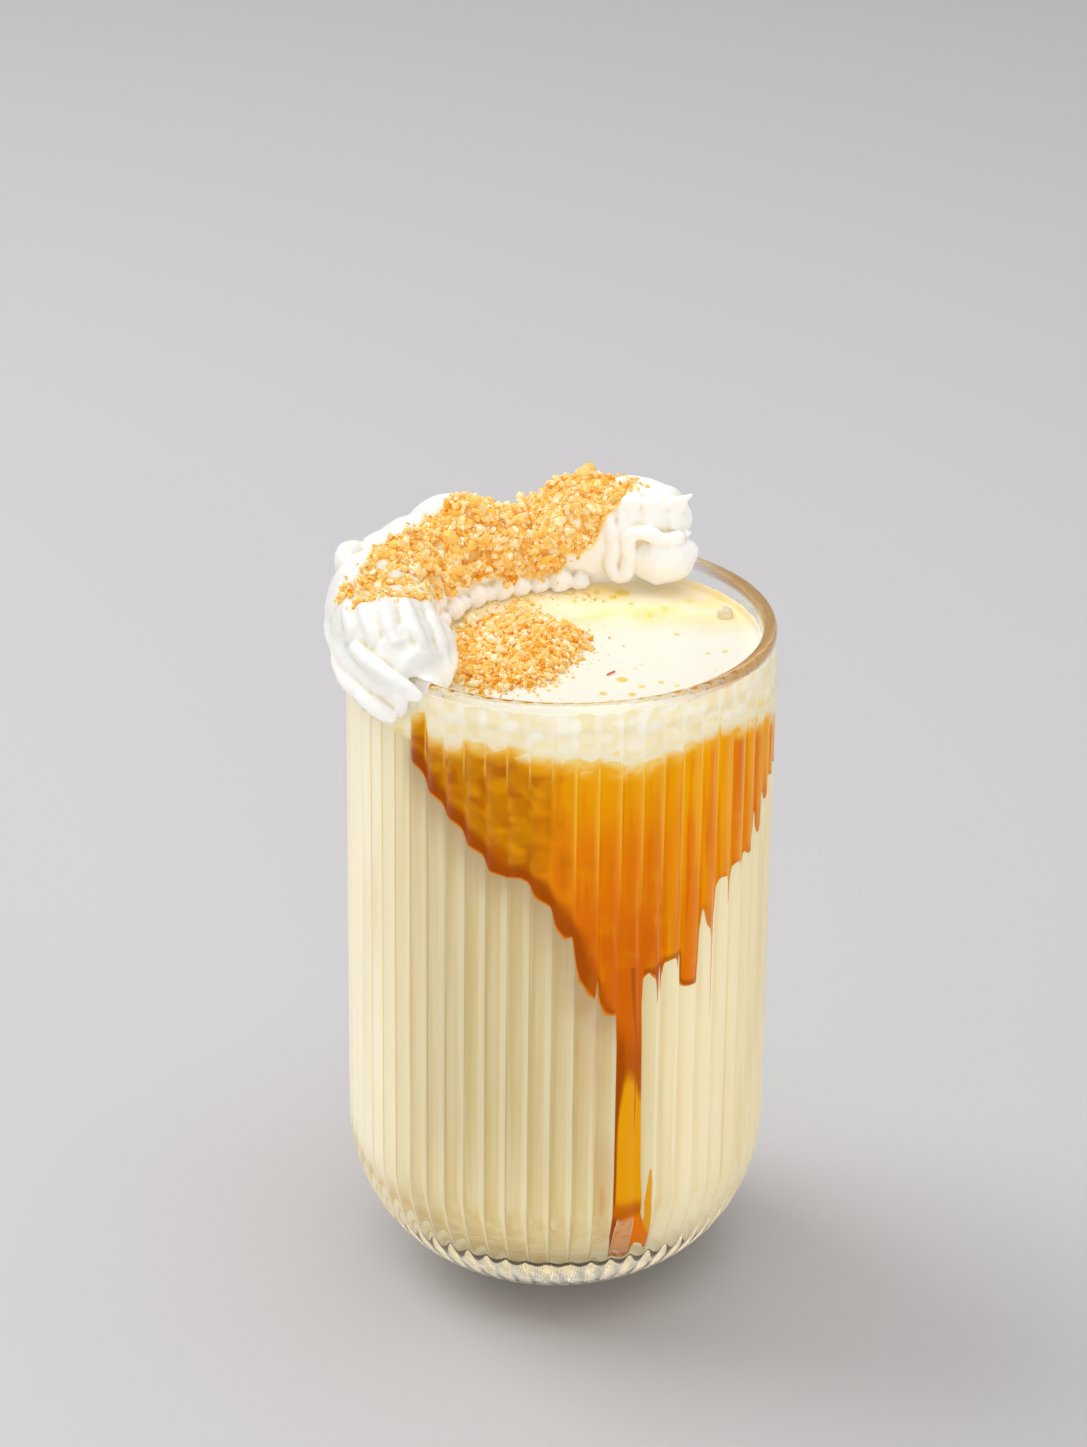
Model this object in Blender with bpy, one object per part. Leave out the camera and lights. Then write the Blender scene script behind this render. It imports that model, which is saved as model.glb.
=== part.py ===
"""Vanilla milkshake in its ribbed glass: drink, froth, caramel run, piped cream and biscuit crumbs.

Run with: blender --background --python part.py
Units are metres, +Z is up, and the origin is the middle of the glass's flat foot.
"""

import math
import random

import bmesh
import bpy
from mathutils import Vector
from mathutils.bvhtree import BVHTree

MM = 0.001

# Glass
GLASS_RADIUS = 39.5 * MM
GLASS_HEIGHT = 129.5 * MM
WALL = 2.8 * MM
FOOT_THICKNESS = 10.4 * MM
HEEL_CENTRE_RADIUS = 13.4 * MM
HEEL_CENTRE_HEIGHT = 27.9 * MM
HEEL_DROP = 28.9 * MM
HEEL_STEPS = 5
RIBS = 60
RIB_DEPTH = 0.65 * MM
RIB_POINTS = 3
RIB_START = 4.3
LIP_BAND = 2.3 * MM
LIP_ROUND = 0.6 * MM

# Drink
GAP = 0.3 * MM
DRINK_LEVEL = 123.6 * MM
FROTH_FLOOR = 117.0 * MM

# Caramel, as angle round the glass in degrees and height in millimetres
CARAMEL_THICKNESS = 1.2 * MM
CARAMEL_STEP = 2.0
CARAMEL_TOP = (
    (-134, 121), (-129, 122), (-126, 119.5), (-112, 120.5), (-103, 121), (-96, 119), (-84, 118),
    (-72, 116.3), (-61, 117), (-55, 119.5), (-40, 120.5), (-20, 118), (-6, 116), (12, 106),
)
CARAMEL_FOOT = (
    (-134, 113), (-132, 110), (-122, 107), (-118, 103.2), (-110, 98.6), (-106, 95), (-98, 94.8),
    (-94, 90.4), (-91, 89), (-89, 83), (-85, 81), (-83, 73), (-79, 71), (-76, 66.8), (-66, 66),
    (-64, 76.4), (-56, 76.4), (-54, 70), (-48, 69.4), (-46, 79), (-43, 84), (-42, 69), (-41, 87),
    (-36, 87.6), (-32, 91.3), (-25, 92.9), (-22, 98.3), (-14, 99.5), (0, 99), (12, 104.5),
)
DRIP_ANGLES = (-73.4, -65.9)
DRIP_THICKNESS = 1.7 * MM
DRIP_TOP = 74 * MM
DRIP_FOOT = 16 * MM
DRIP_STEPS = 7

# Cream rope: angle round the glass, then ring radius, height, half width and half height in mm
ROPE_STATIONS = (
    (53, 36.8, 136.6, 3.0, 3.3),
    (58.5, 36.4, 135.0, 6.6, 7.4),
    (68, 36.0, 132.8, 8.8, 10.5),
    (80, 35.5, 131.9, 9.5, 10.7),
    (87, 35.2, 131.8, 9.6, 10.9),
    (92, 35.0, 131.0, 9.7, 10.5),
    (97, 34.8, 129.3, 9.8, 9.3),
    (102, 34.6, 128.2, 10.0, 8.6),
    (108, 34.4, 128.2, 10.1, 8.6),
    (114, 34.3, 129.0, 10.2, 9.4),
    (126, 34.2, 131.1, 10.2, 11.1),
    (138, 34.0, 129.8, 10.3, 10.1),
    (150, 33.9, 129.0, 10.8, 10.4),
    (166, 33.7, 128.9, 10.3, 10.8),
    (182, 33.0, 128.5, 10.4, 11.1),
    (202, 33.0, 127.9, 9.6, 10.4),
    (214, 33.6, 127.0, 8.6, 9.2),
    (223, 34.6, 126.0, 6.6, 7.2),
    (229, 35.6, 125.2, 3.4, 4.0),
)
ROPE_POINTS = 16
ROPE_RINGS = 60
RIDGE_SPACING = 6.2 * MM
RIDGE_STARTS = 3
RIDGE_DEPTH = 0.2
RIDGE_ROUND = 0.7
RIDGE_UNEVEN = 0.5

# Folds laid over the rope: the same angle, radius and height, then the fold's own radius in mm
FOLD_SIDES = 6
FOLDS = (
    ((200, 41.4, 123.6, 1.3), (207, 41.8, 123.9, 1.7), (215, 41.9, 123.3, 1.8), (221, 41.9, 122.6, 1.6),
     (224.5, 41.8, 122.2, 1.0)),
    ((207, 41.4, 131.0, 1.5), (213, 42.0, 130.9, 1.8), (219.5, 42.2, 130.4, 1.9), (225, 42.2, 129.8, 1.9),
     (230, 41.8, 128.8, 1.6), (232.5, 41.4, 128.2, 1.0)),
    ((196, 28.2, 129.0, 4.6), (208, 27.8, 129.0, 5.6), (218, 29.2, 127.0, 4.6), (224, 30.6, 126.0, 2.6)),
    ((198, 34.6, 135.8, 1.8), (208, 35.2, 134.6, 2.3), (218, 35.8, 132.8, 1.9)),
    ((158, 39.4, 136.0, 2.0), (163, 40.6, 137.0, 2.9), (169, 40.6, 136.0, 2.2)),
    ((73.1, 28.2, 138.6, 1.3), (69.7, 27.8, 133.0, 1.3), (70.1, 27.6, 128.2, 1.4), (67.0, 27.8, 126.6, 1.4),
     (63.7, 28.2, 130.3, 1.3), (64.0, 28.0, 133.0, 1.3), (62.5, 28.4, 135.2, 1.3), (57.0, 29.7, 135.5, 1.4),
     (53.2, 31.4, 134.3, 1.4), (49.5, 34.2, 134.6, 1.3)),
    ((64, 31.0, 129.8, 3.2), (57, 32.6, 129.8, 5.2), (51.5, 34.4, 130.4, 4.4), (49.5, 35.8, 131.4, 2.6)),
    ((67, 31.0, 135.6, 2.4), (66, 31.8, 141.0, 2.2)),
    ((61, 32.4, 135.6, 2.5), (60.5, 33.4, 140.8, 2.3)),
    ((56, 34.4, 135.6, 2.4), (56, 35.0, 140.2, 2.1)),
    ((54.5, 35.0, 140.2, 1.5), (52.5, 35.6, 141.0, 1.0), (49, 37.0, 142.4, 0.4)),
    ((54.5, 34.8, 138.0, 1.5), (52.5, 35.4, 139.0, 0.9), (50, 36.3, 140.6, 0.4)),
    ((54, 34.6, 134.0, 1.5), (51.5, 35.4, 134.2, 1.0), (49, 37.0, 134.8, 0.4)),
)
FOLD_TIP = 0.45

# Crumbs
GRAIN_RADIUS = (0.7 * MM, 1.15 * MM)
CREAM_GRAINS = 44
CREAM_GRAIN_ANGLES = (74, 196)
CREAM_GRAIN_LEAN = (82, 158)
HEAP_GRAINS = 26
HEAP_CENTRE = (-8.2 * MM, -2.6 * MM)
HEAP_HALF_LENGTH = 16.6 * MM
HEAP_HALF_WIDTH = 11.0 * MM
HEAP_TURN = 8.0
HEAP_HEIGHT = 1.9 * MM
HEAP_RINGS = 5
HEAP_SECTORS = 24
HEAP_RELIEF = 0.5 * MM
SEED = 20


def clear_scene():
    for item in list(bpy.data.objects):
        bpy.data.objects.remove(item)


def material(name, colour, roughness, transmission=0.0):
    made = bpy.data.materials.new(name)
    made.use_nodes = True
    shader = made.node_tree.nodes["Principled BSDF"]
    shader.inputs["Base Color"].default_value = (*colour, 1.0)
    shader.inputs["Roughness"].default_value = roughness
    shader.inputs["Transmission Weight"].default_value = transmission
    shader.inputs["IOR"].default_value = 1.5
    return made


def object_from(bm, name, finish=None):
    """One object of a finished bmesh, with its faces turned outwards and round parts shaded smooth."""
    bmesh.ops.recalc_face_normals(bm, faces=bm.faces)
    mesh = bpy.data.meshes.new(name)
    bm.to_mesh(mesh)
    bm.free()
    mesh.shade_smooth()
    mesh.set_sharp_from_angle(angle=math.radians(40))
    if finish is not None:
        mesh.materials.append(finish)
    made = bpy.data.objects.new(name, mesh)
    bpy.context.scene.collection.objects.link(made)
    return made


def as_helper(item):
    item.hide_render = True
    item.display_type = "WIRE"
    return item


def polar(angle, radius, height):
    turn = math.radians(angle)
    return Vector((radius * math.cos(turn), radius * math.sin(turn), height))


def loft(rings, foot_pole=None, top_pole=None):
    """A closed skin through equal rings of points, each end shut by one face or by a fan to its pole."""
    bm = bmesh.new()
    rows = [[bm.verts.new(point) for point in ring] for ring in rings]
    count = len(rows[0])
    for lower, upper in zip(rows, rows[1:]):
        for i in range(count):
            j = (i + 1) % count
            bm.faces.new((lower[i], lower[j], upper[j], upper[i]))
    for row, pole in ((rows[0], foot_pole), (rows[-1], top_pole)):
        if pole is None:
            bm.faces.new(row)
            continue
        middle = bm.verts.new(pole)
        for i in range(count):
            bm.faces.new((row[i], row[(i + 1) % count], middle))
    return bm


def turned(profile):
    """A solid of revolution from (radius, height) pairs that run between its two flat ends."""
    angles = [RIB_START + i * 360 / RIBS for i in range(RIBS)]
    return loft([[polar(angle, radius, height) for angle in angles] for radius, height in profile])


def boolean(body, other, operation):
    change = body.modifiers.new(operation.title() + " " + other.name, "BOOLEAN")
    change.operation = operation
    change.solver = "EXACT"
    change.object = other


def between(rows, position, eased=False):
    """Interpolation in a table whose first column rises, straight, or eased to be level at each row."""
    for low, high in zip(rows, rows[1:]):
        if position <= high[0]:
            share = max(0.0, (position - low[0]) / (high[0] - low[0]))
            if eased:
                share = share * share * (3 - 2 * share)
            return [a + (b - a) * share for a, b in zip(low[1:], high[1:])]
    return list(rows[-1][1:])


def heel_profile(reach, drop, last_turn):
    """The heel's quarter ellipse from its foot up to the straight wall."""
    rows = []
    for i in range(HEEL_STEPS + 1):
        turn = last_turn * (1 - i / HEEL_STEPS)
        radius = HEEL_CENTRE_RADIUS + reach * math.cos(turn)
        rows.append((radius, HEEL_CENTRE_HEIGHT - drop * math.sin(turn)))
    return rows


def cavity_profile(gap=0.0):
    """The drink's side of the glass, from the foot to the straight wall, drawn in by a gap."""
    reach = GLASS_RADIUS - WALL - HEEL_CENTRE_RADIUS - gap
    return heel_profile(reach, HEEL_CENTRE_HEIGHT - FOOT_THICKNESS - gap, math.pi / 2)


def cavity_radius(height, gap):
    if height >= HEEL_CENTRE_HEIGHT:
        return GLASS_RADIUS - WALL - gap
    drop = HEEL_CENTRE_HEIGHT - FOOT_THICKNESS - gap
    share = min(1.0, (HEEL_CENTRE_HEIGHT - height) / drop)
    reach = GLASS_RADIUS - WALL - HEEL_CENTRE_RADIUS - gap
    return HEEL_CENTRE_RADIUS + reach * math.sqrt(1 - share * share)


def ribbed_ring(radius, height, depth):
    count = RIBS * RIB_POINTS
    points = []
    for i in range(count):
        grooved = radius - depth if i % RIB_POINTS == 0 else radius
        points.append(polar(RIB_START + i * 360 / count, grooved, height))
    return points


def make_glass(finish):
    last_turn = math.asin(HEEL_CENTRE_HEIGHT / HEEL_DROP)
    heel = heel_profile(GLASS_RADIUS - HEEL_CENTRE_RADIUS, HEEL_DROP, last_turn)
    rings = [ribbed_ring(radius, height, RIB_DEPTH) for radius, height in heel]
    band = GLASS_RADIUS - RIB_DEPTH / 2
    rings.append(ribbed_ring(GLASS_RADIUS, GLASS_HEIGHT - 1.5 * LIP_BAND, RIB_DEPTH))
    rings.append(ribbed_ring(band, GLASS_HEIGHT - LIP_BAND, 0))
    rings.append(ribbed_ring(band, GLASS_HEIGHT - LIP_ROUND, 0))
    rings.append(ribbed_ring(band - LIP_ROUND, GLASS_HEIGHT, 0))
    glass = object_from(loft(rings), "glass", finish)
    inside = GLASS_RADIUS - WALL
    profile = cavity_profile()
    profile.append((inside, GLASS_HEIGHT - LIP_ROUND))
    profile.append((inside + LIP_ROUND, GLASS_HEIGHT))
    profile.append((inside + LIP_ROUND, GLASS_HEIGHT + LIP_ROUND))
    boolean(glass, as_helper(object_from(turned(profile), "glass_hollow")), "DIFFERENCE")
    return glass


def caramel_edge(rows, angle, grow, pick):
    """The run's edge at one angle, moved outwards by a margin so that a pocket clears it."""
    span = math.degrees(grow / (GLASS_RADIUS - WALL))
    heights = [between(rows, angle + span * share)[0] for share in (-1, -0.5, 0, 0.5, 1)]
    return pick(heights) * MM


def caramel_sheet(inner, outer, grow):
    """The wide part of the run as a closed band on the wall, with a wavy top and a ragged foot."""
    span = math.degrees(grow / (GLASS_RADIUS - WALL))
    first = CARAMEL_FOOT[0][0]
    last = CARAMEL_FOOT[-1][0]
    count = round((last - first) / CARAMEL_STEP)
    angles = [first + i * CARAMEL_STEP for i in range(count + 1)]
    angles[0] -= span
    angles[-1] += span
    bm = bmesh.new()
    rows = []
    for angle in angles:
        low = caramel_edge(CARAMEL_FOOT, angle, grow, min) - grow
        high = caramel_edge(CARAMEL_TOP, angle, grow, max) + grow
        corners = ((outer, low), (outer, high), (inner, high), (inner, low))
        rows.append([bm.verts.new(polar(angle, radius, height)) for radius, height in corners])
    for left, right in zip(rows, rows[1:]):
        for i in range(4):
            bm.faces.new((left[i], right[i], right[(i + 1) % 4], left[(i + 1) % 4]))
    bm.faces.new(rows[0])
    bm.faces.new(rows[-1])
    return bm


def caramel_drip(thickness, beyond, grow):
    """The single long drip, which follows the wall down into the heel and may reach beyond the drink."""
    span = math.degrees(grow / (GLASS_RADIUS - WALL))
    angles = (DRIP_ANGLES[0] - span, DRIP_ANGLES[1] + span)
    rings = []
    for i in range(DRIP_STEPS + 1):
        share = i / DRIP_STEPS
        height = DRIP_FOOT - grow + (DRIP_TOP - DRIP_FOOT + grow) * share * share
        wall = cavity_radius(height, GAP)
        outer = wall + beyond
        inner = wall - thickness - grow
        ring = [polar(angles[0], outer, height), polar(angles[1], outer, height)]
        ring += [polar(angles[1], inner, height), polar(angles[0], inner, height)]
        rings.append(ring)
    return loft(rings)


def make_caramel(finish):
    outer = GLASS_RADIUS - WALL - GAP
    caramel = object_from(caramel_sheet(outer - CARAMEL_THICKNESS, outer, 0), "caramel", finish)
    drip = as_helper(object_from(caramel_drip(DRIP_THICKNESS, -0.1 * GAP, 0), "caramel_drip"))
    boolean(caramel, drip, "UNION")
    return caramel


def make_caramel_pockets():
    outer = GLASS_RADIUS - WALL - GAP
    inner = outer - CARAMEL_THICKNESS - GAP
    sheet = object_from(caramel_sheet(inner, outer + WALL, GAP), "sheet_pocket")
    drip = object_from(caramel_drip(DRIP_THICKNESS, WALL, GAP), "drip_pocket")
    return [as_helper(sheet), as_helper(drip)]


def make_drink(finish, pockets):
    profile = cavity_profile(GAP)
    profile.append((GLASS_RADIUS - WALL - GAP, FROTH_FLOOR - GAP))
    drink = object_from(turned(profile), "milkshake", finish)
    for pocket in pockets:
        boolean(drink, pocket, "DIFFERENCE")
    return drink


def make_froth(finish, pocket):
    edge = GLASS_RADIUS - WALL - GAP
    froth = object_from(turned([(edge, FROTH_FLOOR), (edge, DRINK_LEVEL)]), "froth", finish)
    boolean(froth, pocket, "DIFFERENCE")
    return froth


def ridge(angle, turn):
    """The coiled strand's surface: round crests a few millimetres apart, a little slanted, and creases."""
    travelled = math.radians(angle) * (GLASS_RADIUS - WALL)
    phase = 2 * math.pi * travelled / RIDGE_SPACING + RIDGE_STARTS * turn
    phase += RIDGE_UNEVEN * (math.sin(math.radians(7 * angle)) + math.sin(2 * turn + math.radians(3 * angle)))
    crest = abs(math.cos(phase / 2)) ** RIDGE_ROUND
    return 1 - RIDGE_DEPTH * (1 - crest)


def rope_ring(angle):
    radius, height, half_width, half_height = between(ROPE_STATIONS, angle, eased=True)
    points = []
    for i in range(ROPE_POINTS):
        turn = 2 * math.pi * i / ROPE_POINTS
        size = ridge(angle, turn)
        out = size * half_width * math.cos(turn)
        up = size * half_height * math.sin(turn)
        points.append(polar(angle, (radius + out) * MM, (height + up) * MM))
    return points


def rope():
    """The piped rope along the rim, as rings of points from its tail at the back to its end at the front."""
    first = ROPE_STATIONS[0][0]
    last = ROPE_STATIONS[-1][0]
    rings = [rope_ring(first + (last - first) * i / ROPE_RINGS) for i in range(ROPE_RINGS + 1)]
    poles = []
    for station, side in ((ROPE_STATIONS[0], -1), (ROPE_STATIONS[-1], 1)):
        poles.append(polar(station[0] + side * 2, station[1] * MM, station[2] * MM))
    return loft(rings, *poles)


def fold(points):
    """A round strand of cream through a few places, thick in the middle and shut with blunt tips."""
    places = [polar(angle, radius * MM, height * MM) for angle, radius, height, _ in points]
    thick = [point[3] * MM for point in points]
    ends = ((places[0] - places[1]).normalized(), (places[-1] - places[-2]).normalized())
    rings = []
    side = Vector((0, 0, 1))
    for i, place in enumerate(places):
        ahead = (places[min(i + 1, len(places) - 1)] - places[max(i - 1, 0)]).normalized()
        side = (side - ahead * side.dot(ahead)).normalized()
        if i == 0 and abs(ahead.z) > 0.9:
            side = (Vector((1, 0, 0)) - ahead * ahead.x).normalized()
        across = ahead.cross(side)
        turns = [2 * math.pi * k / FOLD_SIDES for k in range(FOLD_SIDES)]
        rings.append([place + (side * math.cos(t) + across * math.sin(t)) * thick[i] for t in turns])
    first = places[0] + ends[0] * thick[0] * (1 - FOLD_TIP)
    last = places[-1] + ends[1] * thick[-1] * (1 - FOLD_TIP)
    return loft(rings, first, last)


def grain(place, size, dice):
    """One crumb: a small uneven stone of twenty faces."""
    bm = bmesh.new()
    bmesh.ops.create_icosphere(bm, subdivisions=1, radius=size)
    stretch = [dice.uniform(0.75, 1.15) for _ in range(3)]
    for vert in bm.verts:
        vert.co = place + Vector([c * s * dice.uniform(0.85, 1.1) for c, s in zip(vert.co, stretch)])
    return bm


def join_all(name, finish, bodies):
    """One Boolean union of the first body with all the others, applied, and the others removed."""
    base = object_from(bodies[0], name, finish)
    others = bpy.data.collections.new(name + "_pieces")
    bpy.context.scene.collection.children.link(others)
    for number, body in enumerate(bodies[1:]):
        piece = object_from(body, f"{name}_piece_{number}")
        bpy.context.scene.collection.objects.unlink(piece)
        others.objects.link(piece)
    join = base.modifiers.new("Join", "BOOLEAN")
    join.operation = "UNION"
    join.solver = "MANIFOLD"
    join.operand_type = "COLLECTION"
    join.collection = others
    apply_modifiers(base)
    for piece in list(others.objects):
        bpy.data.objects.remove(piece)
    bpy.data.collections.remove(others)
    return base


def apply_modifiers(item):
    graph = bpy.context.evaluated_depsgraph_get()
    item.data = bpy.data.meshes.new_from_object(item.evaluated_get(graph))
    item.modifiers.clear()


def cream_grains(tree, dice):
    """Crumbs on the rope's crest and inner slope, found by looking outwards from its middle."""
    grains = []
    for i in range(CREAM_GRAINS):
        share = (i + dice.random()) / CREAM_GRAINS
        angle = CREAM_GRAIN_ANGLES[0] + share * (CREAM_GRAIN_ANGLES[1] - CREAM_GRAIN_ANGLES[0])
        lean = math.radians(dice.uniform(*CREAM_GRAIN_LEAN))
        radius, height, _, _ = between(ROPE_STATIONS, angle, eased=True)
        middle = polar(angle, radius * MM, height * MM)
        ahead = polar(angle, math.cos(lean), math.sin(lean))
        hit, _, _, _ = tree.ray_cast(middle + ahead * 20 * MM, -ahead)
        if hit is None:
            continue
        size = dice.uniform(*GRAIN_RADIUS)
        grains.append(grain(hit + ahead * size * 0.25, size, dice))
    return grains


def make_clearance():
    """What cream and crumbs keep clear of: the rim with its wall, and all below the drink's level."""
    inside = GLASS_RADIUS - WALL - GAP
    outside = GLASS_RADIUS + 1.5 * GAP
    level = DRINK_LEVEL + GAP
    low = DRINK_LEVEL - 20 * MM
    profile = [(outside, low), (outside, GLASS_HEIGHT + GAP), (inside, GLASS_HEIGHT + GAP), (inside, level)]
    return as_helper(object_from(turned(profile), "rim_and_drink"))


def make_cream(finish, clearance, dice):
    bodies = [rope()] + [fold(points) for points in FOLDS]
    solid = join_all("whipped_cream", finish, bodies)
    tree = BVHTree.FromObject(solid, bpy.context.evaluated_depsgraph_get())
    bm = bmesh.new()
    bm.from_mesh(solid.data)
    bpy.data.objects.remove(solid)
    cream = join_all("whipped_cream", finish, [bm] + cream_grains(tree, dice))
    boolean(cream, clearance, "DIFFERENCE")
    return cream


def heap_place(turn, share):
    """A place in the heap's outline, an uneven oval turned a little, at a share of its reach."""
    uneven = 1 + 0.08 * math.sin(3 * turn + 1.0) + 0.05 * math.sin(5 * turn)
    along = HEAP_HALF_LENGTH * math.sin(turn) * share * uneven
    across = HEAP_HALF_WIDTH * math.cos(turn) * share * uneven
    lean = math.radians(HEAP_TURN)
    x = HEAP_CENTRE[0] + across * math.cos(lean) + along * math.sin(lean)
    y = HEAP_CENTRE[1] + along * math.cos(lean) - across * math.sin(lean)
    return x, y


def heap_height(share):
    return HEAP_HEIGHT * math.sqrt(max(0.0, 1 - share ** 2.2))


def heap_core(dice):
    floor = DRINK_LEVEL + GAP
    rings = []
    for i in range(HEAP_RINGS):
        share = 1 - i / HEAP_RINGS
        ring = []
        for k in range(HEAP_SECTORS):
            x, y = heap_place(2 * math.pi * k / HEAP_SECTORS, share)
            bump = HEAP_RELIEF * dice.uniform(0, 1) if i else 0
            ring.append(Vector((x, y, floor + heap_height(share) + bump)))
        rings.append(ring)
    return loft(rings, None, Vector((*HEAP_CENTRE, floor + HEAP_HEIGHT)))


def heap_grains(dice):
    grains = []
    for i in range(HEAP_GRAINS):
        turn = i * math.pi * (3 - math.sqrt(5))
        share = 0.9 * math.sqrt((i + 0.5) / HEAP_GRAINS)
        x, y = heap_place(turn, share)
        size = dice.uniform(*GRAIN_RADIUS)
        height = DRINK_LEVEL + GAP + heap_height(share) + size * 0.3
        grains.append(grain(Vector((x, y, height)), size, dice))
    return grains


def make_heap(finish, clearance, dice):
    heap = join_all("crumb_heap", finish, [heap_core(dice)] + heap_grains(dice))
    boolean(heap, clearance, "DIFFERENCE")
    return heap


def main():
    clear_scene()
    dice = random.Random(SEED)
    clear_glass = material("clear_glass", (0.94, 0.96, 0.95), 0.03, transmission=1.0)
    vanilla = material("vanilla_milkshake", (0.86, 0.78, 0.55), 0.35)
    foam = material("milk_froth", (0.95, 0.91, 0.78), 0.45)
    caramel = material("caramel_sauce", (0.72, 0.30, 0.03), 0.15)
    cream = material("whipped_cream", (0.94, 0.93, 0.89), 0.45)
    biscuit = material("biscuit_crumb", (0.82, 0.53, 0.22), 0.8)
    make_glass(clear_glass)
    pockets = make_caramel_pockets()
    make_drink(vanilla, pockets)
    make_froth(foam, pockets[0])
    make_caramel(caramel)
    clearance = make_clearance()
    make_cream(cream, clearance, dice)
    make_heap(biscuit, clearance, dice)


main()
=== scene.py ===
# %% [markdown]
# A glass of vanilla milkshake.
#
# The real thing is a straight ribbed tumbler, filled with pale milkshake. A foamy layer floats on top,
# caramel sauce runs down the inside of the wall, a rope of whipped cream lies on the rim, and biscuit crumbs
# are strewn over cream and foam. The solid model of the part gives every size and place. This lesson dresses
# it, one piece after another, in Blender. The first cell loads the solid model as a fixed frame, which no new
# piece moves.

# %% Load the frame
import math
import random

import bmesh
import bpy
import numpy as np
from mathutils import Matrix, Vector
from mathutils.bvhtree import BVHTree
from mathutils.noise import noise as patch_noise


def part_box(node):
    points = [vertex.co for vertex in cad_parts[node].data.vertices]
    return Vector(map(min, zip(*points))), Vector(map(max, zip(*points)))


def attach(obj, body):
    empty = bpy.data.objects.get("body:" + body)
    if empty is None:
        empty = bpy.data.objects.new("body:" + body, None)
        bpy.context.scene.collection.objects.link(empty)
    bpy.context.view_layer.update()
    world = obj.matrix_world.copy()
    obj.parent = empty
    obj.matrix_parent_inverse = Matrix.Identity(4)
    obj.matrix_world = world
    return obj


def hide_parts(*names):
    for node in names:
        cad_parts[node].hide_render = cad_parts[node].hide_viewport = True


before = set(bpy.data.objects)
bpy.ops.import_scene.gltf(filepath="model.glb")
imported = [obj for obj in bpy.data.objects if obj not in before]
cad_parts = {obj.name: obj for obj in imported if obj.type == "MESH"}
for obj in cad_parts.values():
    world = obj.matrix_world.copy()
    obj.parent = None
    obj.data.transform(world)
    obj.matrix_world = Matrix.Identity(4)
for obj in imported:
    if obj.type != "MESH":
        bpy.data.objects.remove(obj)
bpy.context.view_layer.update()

# %% [markdown]
# Sizes come from the frame where it has them. The glass's height and radius are read from its box. What a box
# can't give, such as the wall's thickness or the shape of the heel, repeats the named values of the solid
# model.

# %% Sizes
MM = 0.001
glass_low, glass_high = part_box("glass")
froth_low, froth_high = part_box("froth")
GLASS_RADIUS = glass_high.x
GLASS_HEIGHT = glass_high.z
WALL = 2.8 * MM
INSIDE = GLASS_RADIUS - WALL
FOOT_THICKNESS = 10.4 * MM
HEEL_CENTRE_RADIUS = 13.4 * MM
HEEL_CENTRE_HEIGHT = 27.9 * MM
HEEL_DROP = 28.9 * MM
DRINK_LEVEL = froth_high.z
FROTH_FLOOR = froth_low.z
INTO_WALL = 0.05 * MM
RIBS = 60
RIB_START = 4.3
print(f"glass {2000 * GLASS_RADIUS:.1f} mm wide, {1000 * GLASS_HEIGHT:.1f} mm tall")

# %% [markdown]
# The camera stands where the photographer stood: a little above the rim, looking down at 25 degrees through a
# long lens. A long lens far away keeps the glass's sides almost parallel. The frame is upright, so the lens's
# sensor size counts along its height.

# %% Camera
CAMERA_AIM = Vector((-3.16, 0, 107.87)) * MM
CAMERA_DISTANCE = 819.6 * MM
CAMERA_PITCH = math.radians(25.06)
CAMERA_ROLL = 0.0122
CAMERA_LENS = 110.54
away = Vector((0, -math.cos(CAMERA_PITCH), math.sin(CAMERA_PITCH)))
bpy.ops.object.camera_add(location=CAMERA_AIM + away * CAMERA_DISTANCE)
camera = bpy.context.object
camera.rotation_mode = "ZYX"
camera.rotation_euler = (math.pi / 2 - CAMERA_PITCH, 0, CAMERA_ROLL)
camera.data.lens = CAMERA_LENS
camera.data.sensor_width = 36
camera.data.clip_end = 20
bpy.context.scene.camera = camera
print("camera at", [round(value, 3) for value in camera.location])

# %% [markdown]
# Shader trees are easier to read when each node takes one line. These helpers add a node to the tree in hand,
# fill its sockets with plain values or links, and give back the socket that the next node needs. Colours are
# written as they look on a screen, from 0 to 255, and turned into the linear values that a renderer mixes.

# %% Shader helpers
NO_GLOW = (0, 0, 0, 1)


def linear(value):
    share = value / 255
    return share / 12.92 if share <= 0.04045 else ((share + 0.055) / 1.055) ** 2.4


def shade(red, green, blue):
    return (linear(red), linear(green), linear(blue), 1.0)


def new_material(name, **values):
    """Starts a material, with values on its shader's sockets. Its tree is then the one in hand."""
    global tree, shader
    made = bpy.data.materials.new(name)
    made.use_nodes = True
    tree = made.node_tree
    shader = tree.nodes["Principled BSDF"]
    for socket, value in values.items():
        shader.inputs[socket.replace("_", " ")].default_value = value
    return made


def node(kind, sockets, output=0, **settings):
    made = tree.nodes.new("ShaderNode" + kind)
    for name, value in settings.items():
        setattr(made, name, value)
    for key, value in sockets.items():
        if isinstance(value, bpy.types.NodeSocket):
            tree.links.new(value, made.inputs[key])
        else:
            made.inputs[key].default_value = value
    return made.outputs[output]


def feed(value, socket):
    tree.links.new(value, shader.inputs[socket])


# %% [markdown]
# A finish is painted like a picture: a ground colour first, then thinner layers over it. Each layer has a
# share, which maths works out from the place, the noise or an attribute.

# %% Maths and colour helpers
def maths(operation, *values):
    return node("Math", dict(enumerate(values)), operation=operation)


def times(first, second):
    return maths("MULTIPLY", first, second)


def gap(value, middle):
    """How far a value is from a middle, on either side."""
    return maths("ABSOLUTE", maths("SUBTRACT", value, middle))


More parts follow.
